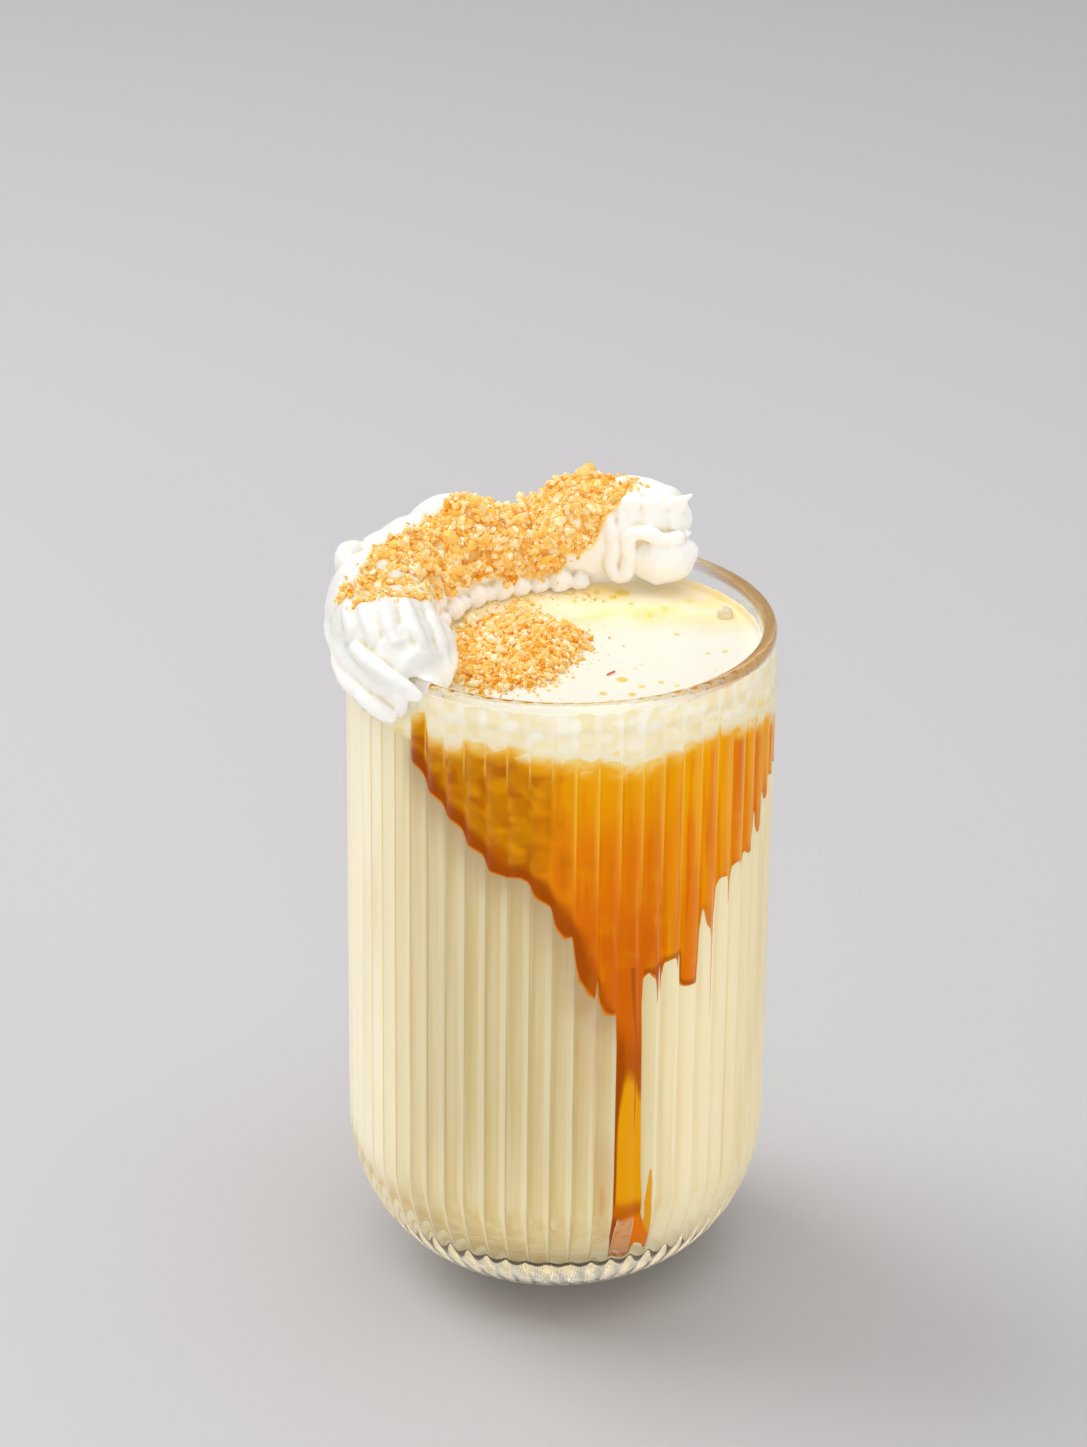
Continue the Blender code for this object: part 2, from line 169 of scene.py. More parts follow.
def spread(value, low, high, to_low=0, to_high=1):
    """The share of the way from low to high, held between the two ends."""
    sockets = {0: value, 1: low, 2: high, 3: to_low, 4: to_high}
    return node("MapRange", sockets, interpolation_type="SMOOTHSTEP")


def layered(colour, *layers):
    """Lays (share, colour) rows over a ground colour, one after another."""
    for share, over in layers:
        colour = node("Mix", {0: share, 6: colour, 7: over}, 2, data_type="RGBA")
    return colour


def paint(material, colour, painted_glow_share):
    """Feeds a colour and lets a share of it glow as painted light. Rays from matt things miss it, so the table
    gets none.
    """
    feed(colour, "Base Color")
    matt_ray = node("LightPath", {}, "Is Diffuse Ray")
    feed(layered(NO_GLOW, (painted_glow_share, colour), (matt_ray, NO_GLOW)), "Emission Color")
    material.cycles.emission_sampling = "NONE"


# %% [markdown]
# Patterns are laid out in a piece's own space, so they stay where they are when the piece moves. Noise may be
# drawn out along the height, for streaks. A mesh can also carry a value at each point, as an attribute.

# %% Pattern helpers
def own_place(stretch=None):
    place = node("TexCoord", {}, "Object")
    return node("Mapping", {"Vector": place, "Scale": stretch}) if stretch else place


def own_axis(letter):
    return node("SeparateXYZ", {0: own_place()}, letter)


def from_axis():
    return node("VectorMath", {0: own_place((1, 1, 0))}, "Value", operation="LENGTH")


def degrees_round():
    return times(maths("ARCTAN2", own_axis("Y"), own_axis("X")), 180 / math.pi)


def noise(scale, detail, up=None):
    place = own_place((1, 1, up) if up else None)
    return node("TexNoise", {"Vector": place, "Scale": scale, "Detail": detail})


def attribute(name):
    return node("Attribute", {}, "Fac", attribute_name=name)


def roughen(height, distance, strength):
    feed(node("Bump", {"Height": height, "Distance": distance, "Strength": strength}), "Normal")


def dress(piece, material, slot, *nodes):
    """Gives a finished piece its material and place on the one body, and hides the solids it replaces. Slot is
    unused.
    """
    piece.data.materials.clear()
    piece.data.materials.append(material)
    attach(piece, "root")
    if nodes:
        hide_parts(*nodes)
    faces = sum(len(face.vertices) - 2 for face in piece.data.polygons)
    print(f"{piece.name}: {faces} triangles")


# %% [markdown]
# Round pieces such as a tumbler are lofted ring by ring, as on a potter's wheel. A circle is added, and in
# edit mode its edge is extruded up and scaled, once for every step of the profile. A Screw or a spin would
# make the same form, but the rings let the ribs fade out at the lip, because a ring can be made round again
# on the way.

# %% Ring helpers
def added(operator, **settings):
    """Adds a primitive with nothing else selected, and moves its place into its mesh."""
    bpy.ops.object.select_all(action="DESELECT")
    operator(**settings)
    bpy.ops.object.transform_apply(location=True, rotation=True, scale=True)
    return bpy.context.object


def start_ring(points, radius, height, turn=0.0):
    ring = added(
        bpy.ops.mesh.primitive_circle_add, vertices=points, radius=radius, location=(0, 0, height),
        rotation=(0, 0, turn)
    )
    bpy.ops.object.mode_set(mode="EDIT")
    bpy.ops.mesh.select_mode(type="VERT")
    bpy.ops.mesh.select_all(action="SELECT")
    return ring


def pull_rings(profile):
    """Extrudes the selected ring through (radius, height) rows. The first row is where the ring is now."""
    for (radius, height), (next_radius, next_height) in zip(profile, profile[1:]):
        bpy.ops.mesh.extrude_edges_move(TRANSFORM_OT_translate={"value": (0, 0, next_height - height)})
        share = next_radius / radius
        bpy.ops.transform.resize(value=(share, share, 1), center_override=(0, 0, next_height))


def finish_mesh(name, smooth_below=40):
    """Leaves edit mode, points the faces outwards, and shades smooth where faces meet at a low angle."""
    bpy.ops.mesh.select_all(action="SELECT")
    bpy.ops.mesh.normals_make_consistent(inside=False)
    bpy.ops.object.mode_set(mode="OBJECT")
    bpy.ops.object.shade_smooth_by_angle(angle=math.radians(smooth_below))
    piece = bpy.context.object
    piece.name = name
    piece.data.name = name
    return piece


def turned_solid(name, points, profile, smooth_below=40):
    """A closed solid, turned from (radius, height) rows."""
    start_ring(points, *profile[0])
    bpy.ops.mesh.edge_face_add()
    pull_rings(profile)
    bpy.ops.mesh.edge_face_add()
    return finish_mesh(name, smooth_below)


def select_points(piece, wanted):
    """In edit mode, selects only the points that a test picks."""
    bpy.ops.mesh.select_all(action="DESELECT")
    mesh = bmesh.from_edit_mesh(piece.data)
    for vert in mesh.verts:
        vert.select = wanted(vert.co)
    mesh.select_flush(True)
    bmesh.update_edit_mesh(piece.data)


def heel(reach, drop, first_turn, steps):
    """The heel's quarter ellipse as (radius, height) rows, from the foot up to the straight wall."""
    rows = []
    for i in range(steps + 1):
        turn = first_turn * (1 - i / steps)
        radius = HEEL_CENTRE_RADIUS + reach * math.cos(turn)
        rows.append((radius, HEEL_CENTRE_HEIGHT - drop * math.sin(turn)))
    return rows


def cavity(beyond, steps):
    """The drink's side of the glass, pushed a little into the wall."""
    reach = INSIDE - HEEL_CENTRE_RADIUS + beyond
    return heel(reach, HEEL_CENTRE_HEIGHT - FOOT_THICKNESS + beyond, math.pi / 2, steps)


# %% [markdown]
# The tumbler is pressed glass: 60 shallow ribs run from the foot over the round heel up to a smooth lip. Each
# rib bulges like a lens, and the groove between two ribs is narrow and rounded. The first ring, where heel
# and wall meet, gets its ribs by scaling one class of points after another, a little less towards the middle
# of each rib. All the rings above and below inherit them.

# %% The ribbed ring
POINTS_PER_RIB = 12
RIB_DEPTH = 0.65 * MM
RIB_FLANK = 0.8
glass = start_ring(RIBS * POINTS_PER_RIB, GLASS_RADIUS, HEEL_CENTRE_HEIGHT, math.radians(RIB_START))


def rib_step(point):
    """Which of a rib's points this is, counted from the groove."""
    share = ((math.degrees(math.atan2(point.y, point.x)) - RIB_START) * RIBS / 360) % 1.0
    return round(share * POINTS_PER_RIB) % POINTS_PER_RIB


def rib_depth(from_crest):
    """A parabola from the crest, 0, down the flank, and a rounded bottom at the groove, 1."""
    if from_crest < RIB_FLANK:
        return RIB_DEPTH * from_crest ** 2 / RIB_FLANK
    return RIB_DEPTH * (1 - (1 - from_crest) ** 2 / (1 - RIB_FLANK))


for step in range(POINTS_PER_RIB):
    share = 1 - rib_depth(abs(2 * step / POINTS_PER_RIB - 1)) / GLASS_RADIUS
    select_points(glass, lambda point: rib_step(point) == step)
    bpy.ops.transform.resize(value=(share, share, 1), center_override=(0, 0, 0))
bpy.ops.mesh.select_all(action="SELECT")
print(len(glass.data.vertices), "points in the ribbed ring")

# %% [markdown]
# From that ring the heel is pulled down to the foot. The ribs run together there and get shallower, so each
# ring is pressed a little closer to a true circle.

# %% The glass heel and foot
FOOT_TURN = math.asin(HEEL_CENTRE_HEIGHT / HEEL_DROP)
RIB_FADE = 0.045
FOOT_HOLLOW = 0.4 * MM
outer_heel = heel(GLASS_RADIUS - HEEL_CENTRE_RADIUS, HEEL_DROP, FOOT_TURN, 26)[::-1]
for upper, lower in zip(outer_heel, outer_heel[1:]):
    pull_rings([upper, lower])
    bpy.ops.transform.tosphere(value=RIB_FADE)
foot_radius = outer_heel[-1][0]
pull_rings([(foot_radius, 0), (foot_radius - 2.5 * MM, 0), (foot_radius - 4 * MM, FOOT_HOLLOW)])
bpy.ops.mesh.edge_face_add()
print(f"foot {2000 * foot_radius:.1f} mm wide")

# %% [markdown]
# The wall is pulled up from the first ring again. Under the lip the ribs end in small round tips. The lip is
# a half round, and the way back down inside is smooth.

# %% The glass wall
LIP_BAND = 2.3 * MM
RIB_END = 4.0 * MM
RIB_END_STEPS = 8
LIP_STEPS = 10
select_points(glass, lambda point: abs(point.z - HEEL_CENTRE_HEIGHT) < 0.01 * MM)
last = (GLASS_RADIUS, GLASS_HEIGHT - LIP_BAND - RIB_END)
pull_rings([(GLASS_RADIUS, HEEL_CENTRE_HEIGHT), last])
for step in range(1, RIB_END_STEPS + 1):
    share = step / RIB_END_STEPS
    height = GLASS_HEIGHT - LIP_BAND - RIB_END * math.cos(share * math.pi / 2)
    pull_rings([last, (last[0], height)])
    bpy.ops.transform.tosphere(value=share ** 2)
    last = (last[0], height)
band_radius = GLASS_RADIUS - RIB_DEPTH / 3
lip_middle = (band_radius + INSIDE) / 2
lip_reach = band_radius - lip_middle
rows = [(band_radius, last[1])]
for i in range(LIP_STEPS + 1):
    turn = math.pi * i / LIP_STEPS
    radius = lip_middle + lip_reach * math.cos(turn)
    rows.append((radius, GLASS_HEIGHT - lip_reach + lip_reach * math.sin(turn)))
pull_rings(rows)
pull_rings([rows[-1]] + cavity(0, 16)[::-1])
bpy.ops.mesh.edge_face_add()
glass = finish_mesh("ribbed_glass", 70)
print("glass is", round(1000 * glass.dimensions.z, 2), "mm tall")

# %% [markdown]
# Glass is a Principled shader with full transmission. Light that has to reach the drink through a refracting
# wall would arrive as grain, so rays from lamps and rays that bounce between matt things pass straight
# through a Transparent shader instead. Rays from the camera still bend in the ribs. On the right the thick
# lip's glass is tinted tan, a painted reflection of the caramel that it gathers there, and it gets a painted
# brown shade where it is seen edge on. A very slow waviness keeps the highlights from looking machined.

# %% Glass material
LIP_REFLECTED_TAN = (0.48, 0.23, 0.08, 1)
LIP_EDGE_SHADE = (0.20, 0.11, 0.06, 1)
CLEAR = (0.975, 0.985, 0.975, 1)
FOOT_PAINTED_GLOW = (0.27, 0.235, 0.175, 1)
clear_glass = new_material(
    "clear_glass", Roughness=0.015, Transmission_Weight=1, IOR=1.5, Specular_Tint=(0.15, 0.15, 0.15, 1),
    Emission_Strength=1
)
height = own_axis("Z")
degrees = degrees_round()
on_lip = spread(height, GLASS_HEIGHT - LIP_BAND, GLASS_HEIGHT - 0.6 * LIP_BAND)
on_right = times(spread(degrees, -75, -35), spread(degrees, 62, 30))
on_left = times(spread(degrees, -75, -115), 0.2)
# Painted reflection and shade: the lip is tinted tan where it would show the caramel, and brown edge on.
caramel_reflection = times(on_lip, maths("MAXIMUM", on_right, on_left))
facing = node("LayerWeight", {"Blend": 0.5}, "Facing")
lip_edge_shade = times(on_lip, spread(facing, 0.7, 0.93, 0, 0.85))
feed(layered(CLEAR, (caramel_reflection, LIP_REFLECTED_TAN), (lip_edge_shade, LIP_EDGE_SHADE)), "Base Color")
roughen(noise(160, 1, up=0.35), 0.05 * MM, 0.6)

# %% [markdown]
# The foot gets a painted pale glow, which stands in for the light that the drink above sends into the ribs.
# Rays from the table pass it by, so the table stays dark beside it.

# %% The foot's glow and the rays that pass
outside = spread(from_axis(), 19 * MM, 21 * MM)
foot_band = times(spread(height, 0.5 * MM, 1.8 * MM), spread(height, 12.5 * MM, 10 * MM))
twist = maths("MULTIPLY_ADD", degrees, RIBS / 360, times(height, 1 / (9 * MM)))
twist = maths("PINGPONG", maths("ADD", twist, noise(300, 2)), 0.5)
strands = times(spread(twist, 0.05, 0.3, 0.15, 1), spread(noise(900, 3), 0.35, 0.65, 0.4, 1))
# Painted glow: a pale, streaky band of light round the foot.
painted_foot_light = times(times(foot_band, outside), strands)
feed(layered(NO_GLOW, (painted_foot_light, FOOT_PAINTED_GLOW)), "Emission Color")
clear_glass.cycles.emission_sampling = "NONE"
passes = maths("MAXIMUM", node("LightPath", {}, "Is Shadow Ray"), node("LightPath", {}, "Is Diffuse Ray"))
let_through = node("BsdfTransparent", {"Color": (0.95, 0.95, 0.93, 1)})
glass_or_clear = node("MixShader", {0: passes, 1: shader.outputs[0], 2: let_through})
tree.links.new(glass_or_clear, tree.nodes["Material Output"].inputs["Surface"])
dress(glass, clear_glass, "glass", "glass")

# %% [markdown]
# The drink touches the glass everywhere, so its surface is what the wall shows. It is made the same way, one
# ring after another, and reaches a hair's breadth into the wall: with a gap of air between them the edge of
# the drink would turn to mirror. The foam on top is a second piece, because foam is whiter and full of
# bubbles.

# %% The milkshake
MILK_POINTS = 480
MILK_ROWS = 75
milk_depth = FROTH_FLOOR - HEEL_CENTRE_HEIGHT
profile = cavity(INTO_WALL, 24)
for row in range(1, MILK_ROWS + 1):
    profile.append((INSIDE + INTO_WALL, HEEL_CENTRE_HEIGHT + milk_depth * row / MILK_ROWS))
milk = turned_solid("vanilla_milkshake", MILK_POINTS, profile)
print("milkshake is", round(1000 * milk.dimensions.z, 1), "mm deep")

# %% [markdown]
# The foam's top isn't flat. It creeps up the glass in a meniscus. The rings come closer together towards the
# wall, where the surface bends most.

# %% The froth
MENISCUS = 0.75 * MM
MENISCUS_REACH = 1.2 * MM
FROTH_POINTS = 360
FROTH_RINGS = 64
side_height = DRINK_LEVEL + MENISCUS - FROTH_FLOOR
rows = [(INSIDE + INTO_WALL, FROTH_FLOOR + side_height * i / 6) for i in range(7)]
for i in range(1, FROTH_RINGS):
    radius = (INSIDE + INTO_WALL) * (1 - i / FROTH_RINGS) ** 0.7
    from_wall = INSIDE + INTO_WALL - radius
    rows.append((radius, DRINK_LEVEL + MENISCUS * math.exp(-from_wall / MENISCUS_REACH)))
froth = turned_solid("milk_froth", FROTH_POINTS, rows, 60)
print("froth is", round(1000 * froth.dimensions.z, 1), "mm deep")

# %% [markdown]
# The ribs of a pressed glass work as lenses. They gather the light on the drink in upright bands: a bright
# band at one side of each rib, a sharp edge at the groove, and a slow fade. A renderer needs far too many
# rays to find these bands, so a shared node group works out where a point lies between two grooves, and each
# finish that touches the wall uses it to lighten and darken its colour a little. Seen through the round wall
# the ribs look wider than they are, so fewer bands go round the drink than ribs round the glass.

# %% Rib light group
BANDS = 57
FIRST_BAND = 14.5333
rib_light = bpy.data.node_groups.new("rib_light", "ShaderNodeTree")
rib_light.interface.new_socket("Degrees", in_out="INPUT", socket_type="NodeSocketFloat")
for output in ("Glow", "Dusk", "Line"):
    rib_light.interface.new_socket(output, in_out="OUTPUT", socket_type="NodeSocketFloat")
tree = rib_light
degrees = tree.nodes.new("NodeGroupInput").outputs["Degrees"]
group_out = tree.nodes.new("NodeGroupOutput")
share = maths("FRACT", maths("MULTIPLY_ADD", degrees, BANDS / 360, BANDS + FIRST_BAND))
to_right = times(spread(degrees, -88, -58), spread(degrees, 60, 20))
fainter = maths("MULTIPLY_ADD", to_right, -0.6, 1)
tree.links.new(spread(share, 0.6, 0.7), group_out.inputs["Glow"])
tree.links.new(times(spread(share, 0.6, 0.2), fainter), group_out.inputs["Dusk"])
tree.links.new(spread(share, 0.8, 0.88), group_out.inputs["Line"])
print("rib light:", BANDS, "bands")


def add_rib_light(degrees):
    made = tree.nodes.new("ShaderNodeGroup")
    made.node_tree = rib_light
    tree.links.new(degrees, made.inputs["Degrees"])
    return made.outputs


# %% [markdown]
# Vanilla milkshake is thick and almost opaque. Light goes a few millimetres in and comes out again, which
# softens every shadow on it. Against the glass it looks custard yellow, with painted light and dark bands
# from the ribs and faint clouds where it was stirred. Its right side and left edge are painted lighter, and
# a painted glow lifts it most at the sides and low down. A painted dark line of shade shows where it meets
# the thick foot.

# %% Milkshake material
MILK_DEEP = shade(236, 213, 152)
MILK_BRIGHT = shade(252, 238, 200)
MILK_LIT_EDGE = shade(254, 247, 228)
MILK_DUSK = shade(218, 190, 126)
MILK_HALO = shade(196, 162, 116)
MILK_STAIN = shade(214, 150, 66)
FOOT_LINE_SHADE = shade(34, 22, 12)
milk_finish = new_material(
    "vanilla_milkshake", Roughness=0.35, Subsurface_Weight=0.3, Subsurface_Scale=2.5 * MM,
    Subsurface_Radius=(1, 0.7, 0.35), Emission_Strength=0.3
)
height = own_axis("Z")
degrees = degrees_round()
ribs = add_rib_light(degrees)
threads = noise(900, 2, up=0.02)
colour = layered(
    MILK_DEEP,
    (spread(noise(60, 3, up=0.4), 0.35, 0.7, 0, 0.35), MILK_BRIGHT),
    # Painted light: the right side and the left edge are lighter, and the ribs lay bright and dark bands.
    (spread(degrees, -78, -48, 0, 0.75), MILK_BRIGHT),
    (spread(degrees, -128, -158, 0, 0.8), MILK_LIT_EDGE),
    (times(ribs["Dusk"], 0.8), MILK_DUSK),
    (times(ribs["Glow"], 0.7), MILK_BRIGHT),
    (spread(threads, 0.45, 0.75, 0, 0.45), MILK_BRIGHT),
    (spread(threads, 0.5, 0.25, 0, 0.3), MILK_DUSK),
    (attribute("halo"), MILK_HALO),
    (attribute("stain"), MILK_STAIN),
    # Painted shade: a dark line where the milk's lowest edge meets the foot.
    (spread(height, FOOT_THICKNESS + 1.8 * MM, FOOT_THICKNESS + 1.4 * MM), FOOT_LINE_SHADE),
)
# Painted glow: strongest at both sides and low down.
side_glow = maths("MAXIMUM", spread(degrees, -80, -48, 0.27, 1), spread(degrees, -124, -150, 0.27, 1))
low_glow = spread(height, 45 * MM, 20 * MM, 0.27, 0.6)
paint(milk_finish, colour, maths("MAXIMUM", side_glow, low_glow))
dress(milk, milk_finish, "milkshake", "milkshake")

# %% [markdown]
# Foam is milk with air in it. Against the glass its bubbles press flat into round cells, some white and some
# pale yellow, with darker films between them. On top they are too fine to see.

# %% Froth material
FOAM_WHITE = shade(247, 243, 227)
FOAM_SIDE = shade(255, 250, 236)
FOAM_CREAM = shade(252, 240, 208)
FOAM_YELLOW = shade(248, 222, 142)
FOAM_FILM = shade(234, 212, 154)
FOAM_BACK = shade(252, 222, 146)
FOAM_BLOTCH = shade(236, 204, 60)
FOAM_CELLS = 430


def foam_cells(output, channel=None):
    value = node("TexVoronoi", {"Vector": own_place(), "Scale": FOAM_CELLS}, output)
    return node("SeparateColor", {0: value}, channel) if channel else value


froth_finish = new_material(
    "milk_froth", Roughness=0.42, Subsurface_Weight=0.25, Subsurface_Scale=1.2 * MM,
    Subsurface_Radius=(1, 0.8, 0.5), Emission_Strength=0.26
)
height = own_axis("Z")
ribs = add_rib_light(degrees_round())
from_middle = foam_cells("Distance")
low = spread(height, DRINK_LEVEL + 1 * MM, FROTH_FLOOR + 1.5 * MM, 0.3, 1)
thin = spread(height, FROTH_FLOOR + 1.8 * MM, FROTH_FLOOR - 0.5 * MM)
hearts = times(spread(from_middle, 0.5, 0.1), spread(foam_cells("Color", "Green"), 0.4, 0.8))
side = layered(
    FOAM_SIDE,
    (spread(foam_cells("Color", "Red"), 0.2, 0.8), FOAM_CREAM),
    (times(hearts, low), FOAM_YELLOW),
    (spread(from_middle, 0.3, 0.7, 0, 0.45), FOAM_FILM),
    (times(low, 0.25), FOAM_YELLOW),
    # Painted light from the ribs: a bright band in each.
    (times(ribs["Glow"], 0.35), FOAM_SIDE),
    (times(thin, 0.6), MILK_DEEP),
)

# %% [markdown]
# The surface is nearly white in front, yellower towards the cream, and has small blotches where crumbs have
# sunk in. A painted glow lifts it on the side against the glass and behind, in the cream's shade.

# %% The froth's top
behind = own_axis("Y")
back = times(spread(behind, 2 * MM, 18 * MM), spread(noise(110, 2), 0.35, 0.7, 0.4, 1))
near_cream = times(spread(own_axis("X"), -13 * MM, -26 * MM), 0.6)
blotch = spread(attribute("blotch"), 0.12, 0.5, 0, 0.85)
top = layered(FOAM_WHITE, (maths("MAXIMUM", back, near_cream), FOAM_BACK), (blotch, FOAM_BLOTCH))
on_side = spread(from_axis(), INSIDE - 0.3 * MM, INSIDE)
# Painted glow: on the side against the glass, and behind, where the cream throws its shade.
in_shade = spread(behind, 7 * MM, 20 * MM, 0.2, 1)
paint(froth_finish, layered(top, (on_side, side)), maths("MAXIMUM", on_side, in_shade))
roughen(noise(700, 2), 0.04 * MM, 0.12)
dress(froth, froth_finish, "froth", "froth")

# %% [markdown]
# Uneven outlines are kept as tables of a few places, and a value between two rows is worked out when it is
# needed. A thin piece starts as a flat grid, one unit wide, that is bent to its place.

# %% Table and mesh helpers
def between(rows, position, eased=False):
    """The value at a position in (position, value) rows, straight, or eased to be level at each row."""
    for (low, first), (high, second) in zip(rows, rows[1:]):
        if position <= high:
            share = max(0.0, (position - low) / (high - low))
            if eased:
                share = share * share * (3 - 2 * share)
            return first + (second - first) * share
    return rows[-1][1]


def polar(angle, radius, height):
    turn = math.radians(angle)
    return Vector((radius * math.cos(turn), radius * math.sin(turn), height))


def add_grid(columns, rows):
    return added(bpy.ops.mesh.primitive_grid_add, x_subdivisions=columns, y_subdivisions=rows, size=1.0)


def add_attribute(piece, name, values):
    made = piece.data.attributes.new(name, "FLOAT", "POINT")
    made.data.foreach_set("value", np.asarray(values, dtype=float))


def mesh_points(piece):
    points = np.empty(len(piece.data.vertices) * 3)
    piece.data.vertices.foreach_get("co", points)
    return points.reshape(-1, 3)


def apply_modifier(piece, kind, **settings):
    bpy.context.view_layer.objects.active = piece
    change = piece.modifiers.new(kind.title(), kind)
    for name, value in settings.items():
        setattr(change, name, value)
    bpy.ops.object.modifier_apply(modifier=change.name)


# %% [markdown]
# Whipped cream was piped along the rim as one thick rope. A star nozzle leaves round crests with creases
# between them, slanted because the bag turns. The rope is a grid wrapped round a path: across the grid is the
# way along the rim, up the grid is the way round the rope. Each station has an angle on the rim, a radius, a
# height, and half the rope's width and height, in degrees and millimetres, as in the solid model.

# %% The cream rope
ROPE_STATIONS = (
    (53, 36.8, 136.6, 3.0, 3.3), (58.5, 36.4, 135.0, 6.6, 7.4), (68, 36.0, 132.8, 8.8, 10.5),
    (80, 35.5, 131.9, 9.5, 10.7), (87, 35.2, 131.8, 9.6, 10.9), (92, 35.0, 131.0, 9.7, 10.5),
    (97, 34.8, 129.3, 9.8, 9.3), (102, 34.6, 128.2, 10.0, 8.6), (108, 34.4, 128.2, 10.1, 8.6),
    (114, 34.3, 129.0, 10.2, 9.4), (126, 34.2, 131.1, 10.2, 11.1), (138, 34.0, 129.8, 10.3, 10.1),
    (150, 33.9, 129.0, 10.8, 10.4), (166, 33.7, 128.9, 10.3, 10.8), (182, 33.0, 128.5, 10.4, 11.1),
    (202, 33.0, 127.9, 9.6, 10.4), (214, 33.6, 127.0, 8.6, 9.2), (223, 34.6, 126.0, 6.6, 7.2),
    (229, 35.6, 125.2, 3.4, 4.0),
)
RIDGE_SPACING = 6.2 * MM
RIDGE_STARTS = 3
RIDGE_DEPTH = 0.2
RIDGE_ROUND = 0.7
RIDGE_UNEVEN = 0.5
END_DEGREES = 2.5


def rope_section(angle):
    """The rope's radius, height, half width and half height at an angle."""
    return [between([(row[0], row[i]) for row in ROPE_STATIONS], angle, eased=True) for i in range(1, 5)]


def ridge(angle, turn):
    """Round crests a few millimetres apart, a little slanted. The rope's ends and its foot are smooth."""
    travelled = math.radians(angle) * INSIDE
    phase = 2 * math.pi * travelled / RIDGE_SPACING + RIDGE_STARTS * turn
    phase += RIDGE_UNEVEN * (math.sin(math.radians(7 * angle)) + math.sin(2 * turn + math.radians(3 * angle)))
    crest = abs(math.cos(phase / 2)) ** RIDGE_ROUND
    worn = max(0.15, min(1.0, (angle - 66) / 14, (208 - angle) / 20))
    worn *= max(0.0, min(1.0, 0.35 + 0.9 * math.sin(turn)))
    worn *= 0.7 + 0.9 * patch_noise((angle * 0.09, 3, 0))
    return 1 - RIDGE_DEPTH * worn * (1 - crest)


def rope_point(along, around):
    first = ROPE_STATIONS[0][0] - END_DEGREES
    last = ROPE_STATIONS[-1][0] + END_DEGREES
    angle = first + (last - first) * along
    end = min(1.0, (angle - first) / END_DEGREES, (last - angle) / END_DEGREES)
    radius, height, half_width, half_height = rope_section(angle)
    turn = 2 * math.pi * around
    size = ridge(angle, turn) * math.sqrt(max(0.0, 1 - (1 - end) ** 2))
    out = size * half_width * math.cos(turn)
    up = size * half_height * math.sin(turn)
    return polar(angle, (radius + out) * MM, (height + up) * MM)


rope = add_grid(420, 96)
for vert in rope.data.vertices:
    vert.co = rope_point(vert.co.x + 0.5, vert.co.y + 0.5)
bpy.ops.object.mode_set(mode="EDIT")
bpy.ops.mesh.select_all(action="SELECT")
bpy.ops.mesh.remove_doubles(threshold=0.001 * MM)
rope = finish_mesh("piped_cream", 180)
print("cream rope:", len(rope.data.vertices), "points")

# %% [markdown]
# Where the nozzle stopped and started, cream folded over itself: smooth ribbons and pleats at the left end,
# ruffles and little peaks at the right end, some drawn out to wisps. Small lumps lie along its foot on the
# drink. Each fold is a curve with a round profile, turned into a mesh. Its rows are an angle, a radius, a
# height and a thickness.

